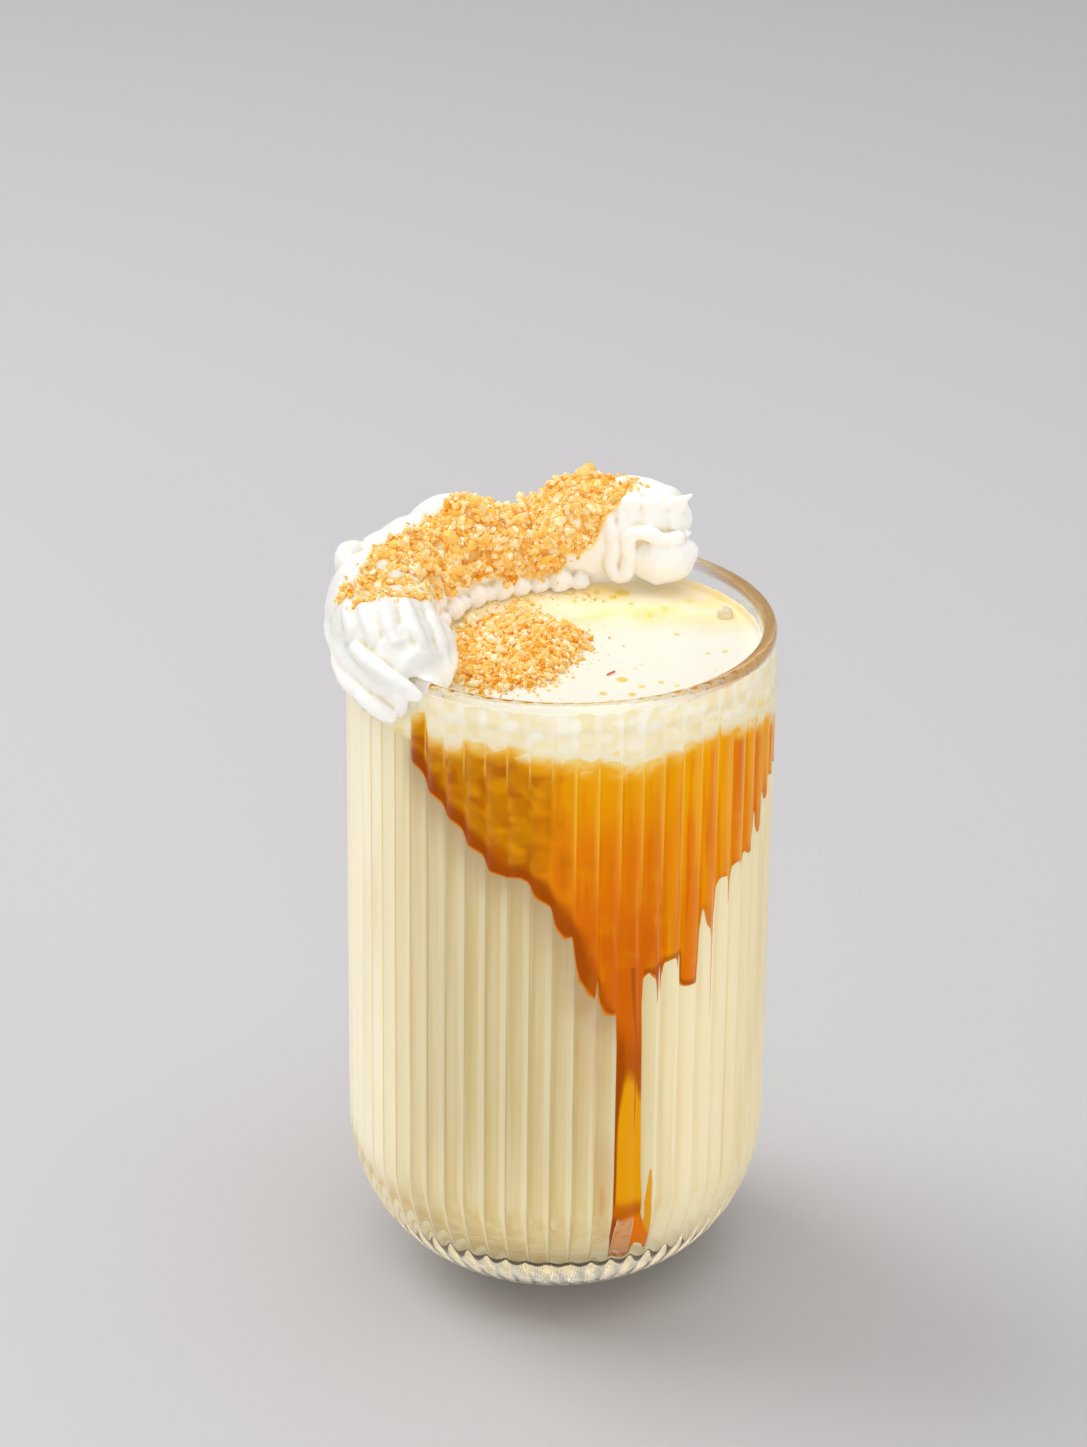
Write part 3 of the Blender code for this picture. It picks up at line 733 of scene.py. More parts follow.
# %% The cream folds
FOLDS = (
    ((190, 41.0, 125.4, 1.6), (196, 41.2, 124.2, 2.0), (203, 41.5, 123.8, 1.9), (209, 41.8, 123.9, 1.8),
     (215, 41.9, 123.3, 1.8), (221, 41.9, 122.6, 1.6), (224.5, 41.8, 122.2, 1.0)),
    ((207, 41.4, 131.0, 1.5), (213, 42.0, 130.9, 1.8), (219.5, 42.2, 130.4, 1.9), (225, 42.2, 129.8, 1.9),
     (230, 41.8, 128.8, 1.6), (232.5, 41.4, 128.2, 1.0)),
    ((196, 28.2, 129.0, 4.6), (208, 27.8, 129.0, 5.6), (218, 29.2, 127.0, 4.6), (224, 30.6, 126.0, 2.6)),
    ((198, 34.6, 135.8, 1.8), (208, 35.2, 134.6, 2.3), (218, 35.8, 132.8, 1.9)),
    ((158, 39.4, 135.6, 2.0), (163.5, 40.8, 136.1, 2.7), (169, 40.6, 135.2, 2.2)),
    ((202, 34.6, 137.2, 1.5), (208.7, 35.5, 136.2, 1.7), (213.4, 36.5, 134.9, 1.6), (218, 37.3, 133.5, 1.3)),
    ((203.5, 31.2, 137.2, 1.4), (210.3, 31.9, 135.9, 1.7), (216.9, 32.7, 134.7, 1.6), (222, 33.3, 132.8, 1.3)),
    ((199, 37.8, 136.2, 1.3), (205.1, 38.3, 135.0, 1.5), (210.1, 38.9, 134.0, 1.5), (213, 39.6, 132.8, 1.2)),
    ((192, 39.2, 135.1, 1.4), (196.7, 39.8, 133.7, 1.6), (202.4, 40.6, 132.7, 1.6), (203.5, 41.4, 130.6, 1.3)),
    ((198, 26.2, 134.6, 1.6), (209.8, 27.0, 133.6, 1.8), (218.7, 28.0, 131.5, 1.6), (225, 29.3, 128.3, 1.2)),
    ((73.1, 28.2, 138.6, 1.3), (69.7, 27.8, 133.0, 1.3), (70.1, 27.6, 128.2, 1.4), (67.0, 27.8, 126.6, 1.4),
     (63.7, 28.2, 130.3, 1.3), (64.0, 28.0, 133.0, 1.3), (62.5, 28.4, 135.2, 1.3), (57.0, 29.7, 135.5, 1.4),
     (53.2, 31.4, 134.3, 1.4), (49.5, 34.2, 134.6, 1.3)),
    ((64, 31.0, 129.8, 3.2), (57, 32.6, 129.8, 5.2), (51.5, 34.4, 130.4, 4.4), (48.8, 36.1, 131.6, 2.7)),
    ((67, 31.0, 135.6, 2.4), (66, 31.8, 141.0, 2.2)),
    ((61, 32.4, 135.6, 2.5), (60.5, 33.4, 140.8, 2.3)),
    ((57.5, 34.2, 135.6, 2.2), (57.5, 34.8, 140.2, 1.9)),
    ((54.5, 35.0, 140.2, 1.5), (52.5, 35.6, 141.0, 1.0), (49, 37.0, 142.4, 0.3)),
    ((54.5, 34.8, 138.0, 1.5), (52.5, 35.4, 139.0, 0.9), (50, 36.3, 140.6, 0.3)),
    ((54, 34.6, 134.0, 1.5), (51.5, 35.4, 134.2, 1.0), (49, 37.0, 134.8, 0.3)),
)
LUMPS = (
    (150, 22.9, 125.6, 2.4), (141, 23.6, 125.2, 1.7), (131, 24.2, 125.2, 2.5), (124, 24.6, 124.8, 1.7),
    (117, 24.4, 125.4, 2.6), (108, 24.8, 125.0, 2.1), (99, 25.4, 124.8, 1.9), (90, 25.6, 125.4, 2.5),
    (82, 26.4, 125.0, 1.7), (160, 23.2, 124.8, 1.7),
)
BLUNT = 0.55
TIP = 0.35


def round_curve(name, places, thickness, depth=MM, corners=6, steps=10):
    """A curve with a round profile through a few places, shut at both ends."""
    curve = bpy.data.curves.new(name, "CURVE")
    curve.dimensions = "3D"
    curve.bevel_depth = depth
    curve.bevel_resolution = corners
    curve.resolution_u = steps
    curve.use_fill_caps = True
    spline = curve.splines.new("BEZIER")
    spline.bezier_points.add(len(places) - 1)
    for point, place, radius in zip(spline.bezier_points, places, thickness):
        point.co = place
        point.radius = radius
        point.handle_left_type = "AUTO"
        point.handle_right_type = "AUTO"
    made = bpy.data.objects.new(name, curve)
    bpy.context.scene.collection.objects.link(made)
    return made


def strand(points):
    """A round strand through a few places, thick in the middle and shut with blunt tips."""
    places = [polar(angle, radius * MM, height * MM) for angle, radius, height, thick in points]
    thick = [point[3] for point in points]
    first = places[0] + (places[0] - places[1]).normalized() * thick[0] * BLUNT * MM
    last = places[-1] + (places[-1] - places[-2]).normalized() * thick[-1] * BLUNT * MM
    return round_curve("strand", [first] + places + [last], [thick[0] * TIP] + thick + [thick[-1] * TIP])


def lump(angle, radius, height, size):
    return strand(((angle - 2, radius, height, size * 0.8), (angle + 2, radius, height + 0.4, size)))


def make_meshes(pieces):
    bpy.ops.object.select_all(action="DESELECT")
    for piece in pieces:
        piece.select_set(True)
    bpy.context.view_layer.objects.active = pieces[0]
    bpy.ops.object.convert(target="MESH")


def join_all(base, others):
    """Turns curves into meshes and joins them with a base mesh."""
    make_meshes(others)
    base.select_set(True)
    bpy.context.view_layer.objects.active = base
    bpy.ops.object.join()
    return bpy.context.object


cream = join_all(rope, [strand(points) for points in FOLDS] + [lump(*row) for row in LUMPS])
print("rope with folds:", len(cream.data.vertices), "points")

# %% [markdown]
# A voxel remesh melts rope and folds into one skin, as soft cream does by itself. Smoothing takes the steps
# of the voxels away, and a cloud of small bumps makes the surface uneven, like real foam.

# %% Melt the folds together
apply_modifier(cream, "REMESH", mode="VOXEL", voxel_size=0.36 * MM)
apply_modifier(cream, "SMOOTH", factor=0.5, iterations=2)
lumps = bpy.data.textures.new("cream_lumps", "CLOUDS")
lumps.noise_scale = 3.2 * MM
lumps.noise_depth = 2
apply_modifier(cream, "DISPLACE", texture=lumps, texture_coords="OBJECT", strength=0.6 * MM, mid_level=0.5)
print("melted cream:", len(cream.data.vertices), "points")

# %% [markdown]
# The rope sits on the rim and on the drink. A turned ring with the wall's outline is cut out of it, so the
# cream meets the glass from both sides and lies on the foam.

# %% Seat the cream on the rim
SEAT = 0.3 * MM
outline = [
    (GLASS_RADIUS + 0.05 * MM, DRINK_LEVEL - 20 * MM),
    (GLASS_RADIUS + 0.05 * MM, GLASS_HEIGHT - 1.2 * MM),
    (GLASS_RADIUS - 0.8 * MM, GLASS_HEIGHT - 0.02 * MM),
    (INSIDE + 0.8 * MM, GLASS_HEIGHT - 0.02 * MM),
    (INSIDE, GLASS_HEIGHT - 1.2 * MM),
    (INSIDE, DRINK_LEVEL - SEAT),
]
cutter = turned_solid("rim_and_drink", RIBS * 4, outline)
apply_modifier(cream, "BOOLEAN", object=cutter, operation="DIFFERENCE", solver="MANIFOLD")
bpy.data.objects.remove(cutter)
cream.data.shade_smooth()
print("cream on its seat:", len(cream.data.polygons), "faces")

# %% [markdown]
# Caramel sauce was poured down the inside of the glass before the milkshake. It hangs as a wide sheet, and
# one drip runs down almost to the base. The sheet's foot has thin tongues on the right, and on the left it
# goes down in steps, one for each rib of the glass, which the outline's rows of angle and height follow. A
# flat grid has a point for every place on the sheet, so it is wrapped on the wall: across becomes the angle,
# up becomes the height between the sheet's foot and its top. The tongues on the right are rounded, so their
# rows are joined by curves.

# %% Caramel outline
CARAMEL_TOP = (
    (-134, 122.5), (-131, 124.6), (-128, 120.8), (-122, 119.8), (-115, 121.2), (-109, 121), (-103, 121.4),
    (-97, 119.8), (-90, 119.6), (-84, 119.4), (-78, 119.4), (-72, 117.6), (-66, 117.6), (-60, 118.8),
    (-53, 119.5), (-47, 120), (-41, 120.6), (-29, 118.8), (-21.7, 117.8), (-14, 116.6), (0, 112), (12, 107),
)
CARAMEL_FOOT = (
    (-134, 113.2), (-131.2, 110.9), (-127.5, 108.2), (-124.5, 106.2), (-121.5, 104.4), (-118.5, 102.4),
    (-115, 99.6), (-112, 98), (-108.8, 95.2), (-105, 94.3), (-101, 94.6), (-98, 93.2), (-95.8, 90.8),
    (-92.5, 88.8), (-90.5, 85.5), (-88.5, 82.8), (-87.1, 83.2), (-86.3, 81.2), (-85.3, 78.5), (-83.1, 73.5),
    (-81.7, 71), (-80.3, 70.2), (-79.4, 71.1), (-79, 74), (-78, 69.6), (-76.3, 66.8), (-74.8, 66.6),
    (-73.7, 67.4), (-66.2, 67.4), (-65.7, 71.1), (-65.1, 73.4), (-63.9, 74.2), (-62.9, 73), (-61.9, 67.4),
    (-61.4, 74), (-60.9, 75.2), (-60.4, 69.6), (-59.8, 73.2), (-58.3, 75.6), (-56.7, 76), (-55.3, 73.6),
    (-54.8, 76.5), (-54.4, 76), (-53.9, 70.1), (-51, 69.4), (-48.2, 69.3), (-47.5, 72.9), (-46.5, 80.9),
    (-45.5, 84), (-44.4, 80), (-43.2, 60), (-42.2, 81.9), (-40.5, 87.6), (-38.5, 88.8), (-36.6, 87.4),
    (-35.4, 82.4), (-34.7, 87.1), (-33, 89.7), (-32, 90.1), (-30.6, 85), (-29.8, 88.9), (-26.6, 91),
    (-24, 88.4), (-23.1, 93), (-20.8, 97.4), (-18.4, 90.4), (-17.4, 96), (-14.2, 99.5), (-11.4, 95.6),
    (-11, 100.5), (4, 101.5), (12, 104.5),
)
TONGUES_FROM = -84


def on_wall(angle, height, beyond=0.0):
    """A place on the inner wall, in the heel too, at an angle in degrees and a height in metres."""
    reach = INSIDE - HEEL_CENTRE_RADIUS
    share = max(0.0, HEEL_CENTRE_HEIGHT - height) / (HEEL_CENTRE_HEIGHT - FOOT_THICKNESS)
    radius = HEEL_CENTRE_RADIUS + reach * math.sqrt(max(0.0, 1 - share * share)) + beyond
    return polar(angle, radius, height)


def sheet_foot(angle):
    return between(CARAMEL_FOOT, angle, eased=angle > TONGUES_FROM) * MM


def sheet_top(angle):
    return between(CARAMEL_TOP, angle, eased=True) * MM


def wrap(grid, first, last, bottom, top, beyond):
    """Bends a flat grid round the wall, between two outlines. Says how far each point is from the top."""
    from_top = []
    for vert in grid.data.vertices:
        angle = first + (last - first) * (vert.co.x + 0.5)
        low = bottom(angle)
        height = low + (top(angle) - low) * (vert.co.y + 0.5)
        vert.co = on_wall(angle, height, beyond)
        from_top.append(top(angle) - height)
    return from_top


# %% [markdown]
# The sheet itself reaches a little further into the wall than the milk does, so that the milk never shows in
# front of it.

# %% The caramel sheet
CARAMEL_BEYOND = 2 * INTO_WALL
sheet = add_grid(900, 30)
first_angle = CARAMEL_FOOT[0][0]
last_angle = CARAMEL_FOOT[-1][0]
add_attribute(sheet, "from_top", wrap(sheet, first_angle, last_angle, sheet_foot, sheet_top, CARAMEL_BEYOND))
print("caramel sheet:", len(sheet.data.vertices), "points")

# %% [markdown]
# Where caramel is thin it is amber, and where it has gathered, along the foot of the sheet, it is brown. Each
# point of the mesh remembers how far it is from the outline, as an attribute, and the material turns that
# distance into colour.

# %% Distance from the sheet's edge
steps = np.arange(first_angle, last_angle, 0.1)
outline = np.array([(math.radians(angle) * INSIDE, sheet_foot(angle)) for angle in steps])


def gap_to_foot(points):
    """How far places on the wall are from the sheet's foot."""
    across = np.arctan2(points[:, 1], points[:, 0]) * INSIDE
    gaps = [((outline - (a, z)) ** 2).sum(axis=1).min() for a, z in zip(across, points[:, 2])]
    return np.sqrt(gaps)


distances = gap_to_foot(mesh_points(sheet))
add_attribute(sheet, "edge", distances)
print("deepest point of the sheet is", round(1000 * distances.max(), 1), "mm from its foot")

# %% [markdown]
# The milk is darker, grey-brown, in a halo below the sheet's foot on the left. Where caramel has crept into
# the milk it leaves soft stains beside the drip. A stain is a row of a table: its middle on the wall, half its
# size both ways, and a strength. The foam has small yellow blotches where crumbs have sunk in, listed in the
# same way.

# %% Tints in the milk and the foam
HALO_REACH = 4.5 * MM
HALO_STRENGTH = 0.75
HALO_MIDDLE = (-104, 90 * MM)
HALO_HALF = (34, 32 * MM)
STAINS = (
    (-76.2, 33, 2.6, 8, 0.35), (-76.3, 28, 0.7, 4.5, 0.75), (-79, 57, 4.6, 8, 0.3),
    (-84.2, 59.5, 0.6, 3.5, 0.35), (-84.9, 45.5, 0.5, 3.5, 0.35), (-82.5, 68.5, 1.6, 2.5, 0.4),
    (-78.0, 64, 2.0, 2.5, 0.35), (-79, 13.6, 5, 1.0, 0.3), (-75.5, 20, 1.6, 5, 0.3),
)
BLOTCHES = (
    (10.9, -14.6, 1.0, 1.1, 0.9), (14.4, -17.5, 0.9, 1.1, 0.5), (17.9, -15.6, 0.7, 0.9, 0.55),
    (20.7, -16.9, 0.6, 0.9, 0.5), (7.4, -20.7, 0.8, 1.1, 0.6), (12.6, -21.0, 0.8, 0.9, 0.7),
    (8.8, -24.1, 0.6, 0.9, 0.6), (26.7, -2.6, 0.7, 0.9, 0.45), (29.8, -1.6, 0.8, 0.9, 0.5),
    (13.3, -9.7, 0.6, 0.7, 0.4), (14.4, -7.9, 0.6, 0.6, 0.4), (21.2, 5.8, 0.8, 0.9, 0.5),
    (28.1, -10.1, 0.5, 0.7, 0.4), (-0.3, -14.9, 0.6, 0.9, 0.4), (-1.0, -17.9, 0.6, 0.9, 0.6),
    (-3.0, -18.0, 0.6, 0.9, 0.5), (-2.3, -19.7, 0.6, 0.9, 0.5), (11.3, 24.5, 1.8, 1.9, 0.6),
    (12.9, 19.8, 0.7, 0.9, 0.6), (19.2, 17.7, 1.1, 1.8, 0.4), (16.4, 14.3, 1.1, 1.8, 0.4),
    (2.4, 20.5, 0.6, 1.1, 0.6), (5.3, 20.5, 0.5, 0.7, 0.4), (6.6, 24.8, 0.7, 1.1, 0.6),
    (9.6, 22.6, 1.0, 1.3, 0.6), (24.0, 21.1, 1.6, 1.8, 0.35),
)


def spots(first, second, table):
    """The strongest of a table's soft spots at each point."""
    total = np.zeros(len(first))
    for middle_1, middle_2, half_1, half_2, strength in table:
        apart = ((first - middle_1) / half_1) ** 2 + ((second - middle_2) / half_2) ** 2
        total = np.maximum(total, strength * np.exp(-apart))
    return total


milk_points = mesh_points(milk)
milk_angles = np.degrees(np.arctan2(milk_points[:, 1], milk_points[:, 0]))
add_attribute(milk, "stain", spots(milk_angles, milk_points[:, 2] / MM, STAINS))
beside = np.abs(milk_angles - HALO_MIDDLE[0]) < HALO_HALF[0]
beside &= np.abs(milk_points[:, 2] - HALO_MIDDLE[1]) < HALO_HALF[1]
halo = np.zeros(len(milk_points))
halo[beside] = HALO_STRENGTH * np.exp(-((gap_to_foot(milk_points[beside]) / HALO_REACH) ** 1.5))
add_attribute(milk, "halo", halo)
froth_points = mesh_points(froth) / MM
on_top = froth_points[:, 2] > DRINK_LEVEL / MM - 0.1
add_attribute(froth, "blotch", on_top * spots(froth_points[:, 0], froth_points[:, 1], BLOTCHES))
print("tinted points of the milk:", int((halo > 0.05).sum()))

# %% [markdown]
# The drip and a thin stream beside its foot are narrow grids, wrapped in the same way. They remember how far
# across the run each point lies, so that the material can paint the drip's dark side and the pale window near
# its end.

# %% The drip and the stream
DRIP = (
    ((12.8, -71.5), (14.2, -73.2), (19, -74.5), (24, -73.9), (33, -73.5), (60, -73.4), (68, -74.5),
     (76, -76.5)),
    ((12.8, -60.5), (14.2, -60.4), (19, -62.2), (24, -64.2), (33, -64.7), (60, -65.2), (68, -65.6),
     (76, -65.0)),
)
STREAM = (
    ((13, -61.0), (15, -61.6), (20, -62.9), (26, -63.7), (30, -63.3), (33, -63.0)),
    ((13, -60.4), (15, -60.7), (20, -61.7), (26, -62.6), (30, -62.5), (33, -62.8)),
)
FAR_FROM_EDGE = 20 * MM
CARAMEL_THICKNESS = 1.2 * MM


def wrapped_run(sides, columns, rows, beyond, kind):
    """A run of sauce between two sides of (height, angle) rows. It remembers the share of the way across."""
    run = add_grid(columns, rows)
    count = len(run.data.vertices)
    add_attribute(run, "across", mesh_points(run)[:, 0] + 0.5)
    for name, value in ((kind, 1.0), ("edge", FAR_FROM_EDGE), ("from_top", FAR_FROM_EDGE)):
        add_attribute(run, name, np.full(count, value))
    lowest = sides[0][0][0]
    highest = sides[0][-1][0]
    for vert in run.data.vertices:
        height = lowest + (highest - lowest) * (vert.co.y + 0.5)
        left, right = [between(side, height) for side in sides]
        vert.co = on_wall(left + (right - left) * (vert.co.x + 0.5), height * MM, beyond)
    return run


def close_skin(skin, thickness, name):
    """Gives a bent grid its thickness, towards the middle of the glass."""
    apply_modifier(skin, "SOLIDIFY", thickness=thickness, offset=-1)
    bpy.ops.object.mode_set(mode="EDIT")
    return finish_mesh(name)


drip = wrapped_run(DRIP, 40, 200, 1.5 * CARAMEL_BEYOND, "on_drip")
stream = wrapped_run(STREAM, 8, 60, 1.2 * CARAMEL_BEYOND, "on_stream")
caramel = close_skin(join_all(sheet, [drip, stream]), CARAMEL_THICKNESS, "caramel_sauce")
print("caramel:", len(caramel.data.vertices), "points")

# %% [markdown]
# Where the drink was poured and stirred, foam clings to the wall above its level. It is a thin film of the
# same foam, just under the lip in front, and lower with an uneven edge at the back on the right.

# %% Foam on the wall
FILM_TOP = (
    (-172, 125.6), (-160, 127.0), (-60, 127.1), (-35, 126.7), (-12, 125.9), (8, 125.5), (52, 125.2),
    (64, 124.8),
)
FILM_UNEVEN = 0.45
FILM_THICKNESS = 0.35 * MM


def film_bottom(angle):
    return DRINK_LEVEL - 0.4 * MM


def film_top(angle):
    return (between(FILM_TOP, angle, eased=True) + FILM_UNEVEN * patch_noise((angle * 0.22, 0, 0))) * MM


wall_film = add_grid(900, 8)
wrap(wall_film, FILM_TOP[0][0], FILM_TOP[-1][0], film_bottom, film_top, 1.5 * INTO_WALL)
dress(close_skin(wall_film, FILM_THICKNESS, "foam_on_wall"), froth_finish, "froth")

# %% [markdown]
# Caramel is clear amber sauce. Its colour goes from mustard and ochre flakes at the left, where it is mixed
# with foam, over brown-orange in the middle to bright amber at the upper right, with a brown band along the
# foot. Streaks that run down the wall come from a noise that is stretched along the height.

# %% Caramel material
CARAMEL_GOLD = shade(222, 146, 0)
CARAMEL_MUSTARD = shade(206, 128, 0)
CARAMEL_OCHRE = shade(192, 102, 0)
CARAMEL_LOW = shade(218, 104, 0)
CARAMEL_ORANGE = shade(234, 126, 0)
CARAMEL_TOP_GOLD = shade(244, 164, 0)
CARAMEL_AMBER = shade(255, 172, 0)
CARAMEL_STREAK = shade(240, 126, 0)
CARAMEL_BROWN = shade(168, 74, 0)
CARAMEL_RIM = shade(226, 136, 36)
CARAMEL_PALE_HIGHLIGHT = shade(255, 214, 112)
CARAMEL_SHINE = shade(255, 192, 52)
caramel_finish = new_material("caramel_sauce", Roughness=0.2, Specular_IOR_Level=0, Emission_Strength=0.2)
degrees = degrees_round()
ribs = add_rib_light(degrees)
from_edge = attribute("edge")
from_top = attribute("from_top")
height = own_axis("Z")
streaks = noise(420, 3, up=0.05)
fine_streaks = noise(1500, 2, up=0.03)
flakes = {"Vector": own_place(), "Scale": 430, "Smoothness": 0.5}
flakes = node("SeparateColor", {0: node("TexVoronoi", flakes, "Color", feature="SMOOTH_F1")}, "Green")
cloudy = noise(330, 3)
left_side = layered(
    CARAMEL_OCHRE, (spread(flakes, 0.2, 0.7), CARAMEL_MUSTARD), (spread(cloudy, 0.45, 0.7), CARAMEL_GOLD)
)
far_right = layered(CARAMEL_AMBER, (spread(streaks, 0.4, 0.62), CARAMEL_STREAK))
right_side = layered(
    CARAMEL_LOW,
    (spread(height, 80 * MM, 96 * MM), CARAMEL_ORANGE),
    (spread(height, 98 * MM, 114 * MM), CARAMEL_TOP_GOLD),
    (spread(degrees, -66, -46), far_right),
    (spread(fine_streaks, 0.48, 0.72, 0, 0.6), CARAMEL_LOW),
    (spread(fine_streaks, 0.42, 0.3, 0, 0.4), CARAMEL_AMBER),
    (spread(cloudy, 0.5, 0.75, 0, 0.3), CARAMEL_TOP_GOLD),
)
past_middle = spread(maths("MULTIPLY_ADD", cloudy, 22, degrees), -90, -74)
print("caramel: the sheet's ground colours are mixed")

# %% [markdown]
# The sheet's edges come next: painted highlights as amber and whitish lines at the ribs, a brown band along
# the foot that is widest on the left, a thin bright rim, and a soft top where caramel runs into the foam.

# %% Caramel edges
# Painted highlights: amber lines at the ribs, and whitish ones near the top.
shine = maths("MULTIPLY_ADD", ribs["Line"], 0.6, times(ribs["Glow"], 0.25))
shine = times(times(shine, spread(degrees, -91, -86)), spread(height, 84 * MM, 106 * MM))
whitish_highlight = times(ribs["Line"], spread(height, 111 * MM, 117 * MM, 0, 0.45))
wide_band = times(spread(from_edge, 3.6 * MM, 1.5 * MM), spread(degrees, -76, -84))
far_right_share = spread(spread(degrees, -52, -44), 1, 0, 0.2, 0.75)
narrow_band = times(spread(from_edge, 1.6 * MM, 0.5 * MM), far_right_share)
band = times(maths("MAXIMUM", wide_band, narrow_band), spread(streaks, 0.2, 0.55, 0.65, 1))
foam_pick = foam_cells("Color", "Red")
foam_reach = maths("MULTIPLY_ADD", cloudy, 5 * MM, times(foam_pick, 0.7 * MM))
uneven_top = maths("ADD", maths("SUBTRACT", from_top, 4 * MM), foam_reach)
foam_colour = layered(FOAM_CREAM, (spread(foam_pick, 0.2, 0.8), FOAM_YELLOW))
sheet_colour = layered(
    left_side,
    (past_middle, right_side),
    (shine, CARAMEL_SHINE),
    (whitish_highlight, CARAMEL_PALE_HIGHLIGHT),
    (band, CARAMEL_BROWN),
    (spread(from_edge, 0.45 * MM, 0.1 * MM), CARAMEL_RIM),
    (spread(uneven_top, 4 * MM, 0.8 * MM, 0, 0.8), CARAMEL_SHINE),
    (spread(uneven_top, 2.4 * MM, -0.8 * MM), foam_colour),
    (spread(from_top, 1.2 * MM, 0), FOAM_CREAM),
)
print("caramel: the sheet's edges are painted")

# %% [markdown]
# The drip is brown-orange where it leaves the sheet, and amber below an edge shaped like a V turned over. Its
# left side stays dark, and a thin dark line runs beside its middle. Near its end a pale window shows, where
# the sauce is so thin that milk shines through, with painted highlights at its sides and small painted
# glints below it.

# %% The drip's colours
DRIP_AMBER = shade(240, 164, 2)
DRIP_ORANGE = shade(192, 90, 0)
DRIP_DEEP = shade(204, 104, 0)
DRIP_END = shade(200, 116, 34)
DRIP_WINDOW = shade(224, 168, 116)
DRIP_GLINT = shade(248, 230, 204)
across = attribute("across")
turned_v = maths("MULTIPLY_ADD", gap(across, 0.45), 10 * MM, height)
dark_reach = spread(height, 40 * MM, 55 * MM, 0.17, 0.36)
beyond_dark = maths("SUBTRACT", across, dark_reach)
dark_side = times(spread(beyond_dark, 0.06, -0.06), spread(height, 68 * MM, 56 * MM))
dark_line = times(spread(gap(across, 0.62), 0.05, 0.02), spread(height, 40 * MM, 46 * MM, 0, 0.7))
window_middle = spread(height, 14 * MM, 23 * MM, 0.34, 0.5)
window_up = times(gap(height, 18.4 * MM), 1 / (4.6 * MM))
window_side = maths("DIVIDE", gap(across, window_middle), 0.2)
window = times(spread(window_up, 1.15, 0.8), spread(window_side, 1.1, 0.9))
# DRIP_GLINT paints highlights: at the window's sides and in small glints near the end.
window_colour = layered(
    DRIP_WINDOW,
    (spread(window_side, 0.7, 0.95, 0, 0.8), DRIP_GLINT),
    (spread(fine_streaks, 0.5, 0.62, 0, 0.5), DRIP_END),
)
low_side = layered(CARAMEL_BROWN, (spread(across, 0.3, 0.55), CARAMEL_STREAK))
drip_colour = layered(
    DRIP_AMBER,
    (spread(turned_v, 51.5 * MM, 56 * MM), DRIP_ORANGE),
    (spread(height, 56 * MM, 66 * MM), CARAMEL_LOW),
    (spread(streaks, 0.5, 0.7, 0, 0.35), CARAMEL_ORANGE),
    (dark_side, CARAMEL_BROWN),
    (dark_line, CARAMEL_BROWN),
    (spread(height, 28 * MM, 25 * MM), DRIP_DEEP),
    (spread(height, 24.5 * MM, 22.5 * MM), low_side),
    (spread(height, 16 * MM, 14 * MM), DRIP_END),
    (times(window, 0.9), window_colour),
    (times(spread(fine_streaks, 0.54, 0.64), spread(height, 15.5 * MM, 13.5 * MM)), DRIP_GLINT),
)
colour = layered(sheet_colour, (attribute("on_drip"), drip_colour), (attribute("on_stream"), DRIP_AMBER))
# Painted glow: the whole sauce glows a little in its own colour.
paint(caramel_finish, colour, 1)
dress(caramel, caramel_finish, "caramel", "caramel")

# %% [markdown]
# Whipped cream is bright, soft and a little translucent. Creases get a painted warm shade, for the light
# that bounces in them from cream to cream, and under the crumbs it turns golden, partly from crumb dust and
# partly as painted shade between them. Both are attributes: how deep a point lies below its smoothed
# surroundings, and how many crumbs are near.

# %% Creases of the cream
CREASE_TURNS = 30
cream_points = mesh_points(cream)
normals = np.empty(len(cream.data.vertices) * 3)
cream.data.vertex_normals.foreach_get("vector", normals)
ends = np.empty(len(cream.data.edges) * 2, dtype=int)
cream.data.edges.foreach_get("vertices", ends)
ends = ends.reshape(-1, 2)
neighbours = np.maximum(np.bincount(ends.ravel(), minlength=len(cream_points)), 1)[:, None]


def smoothed(values, turns):
    """Values at the cream's points, each blended a few times with the mean of its neighbours."""
    for turn in range(turns):
        total = np.zeros_like(values)
        np.add.at(total, ends[:, 0], values[ends[:, 1]])
        np.add.at(total, ends[:, 1], values[ends[:, 0]])
        values = (values + total / neighbours) / 2
    return values


depths = ((smoothed(cream_points, CREASE_TURNS) - cream_points) * normals.reshape(-1, 3)).sum(axis=1)
add_attribute(cream, "crease", depths)
print("deepest crease", round(1000 * depths.max(), 2), "mm")

# %% [markdown]
# A biscuit crumb is a small uneven stone. A handful of icospheres, each with its points shaken, is enough,
# because every crumb gets its own turn and stretch. The crumbs of one place are one mesh: their points are
# worked out in arrays, so thousands take no time, and an attribute holds a tone for each.

# %% Crumb helpers
STONES = 8
CRUMB_SIZE = 0.3 * MM
CRUMB_SPREAD = 0.4
CRUMB_LIFT = 1.25
stone_points = []
for number in range(STONES):
    stone = added(bpy.ops.mesh.primitive_ico_sphere_add, subdivisions=1, radius=1)
    bpy.ops.object.mode_set(mode="EDIT")
    bpy.ops.transform.vertex_random(offset=0.32, uniform=0.7, normal=0.0, seed=number + 1)
    bpy.ops.object.mode_set(mode="OBJECT")
    stone_points.append(mesh_points(stone))
    stone_faces = np.array([face.vertices[:] for face in stone.data.polygons])
    bpy.data.objects.remove(stone)
stone_points = np.array(stone_points)
print(STONES, "stones of", len(stone_faces), "faces")


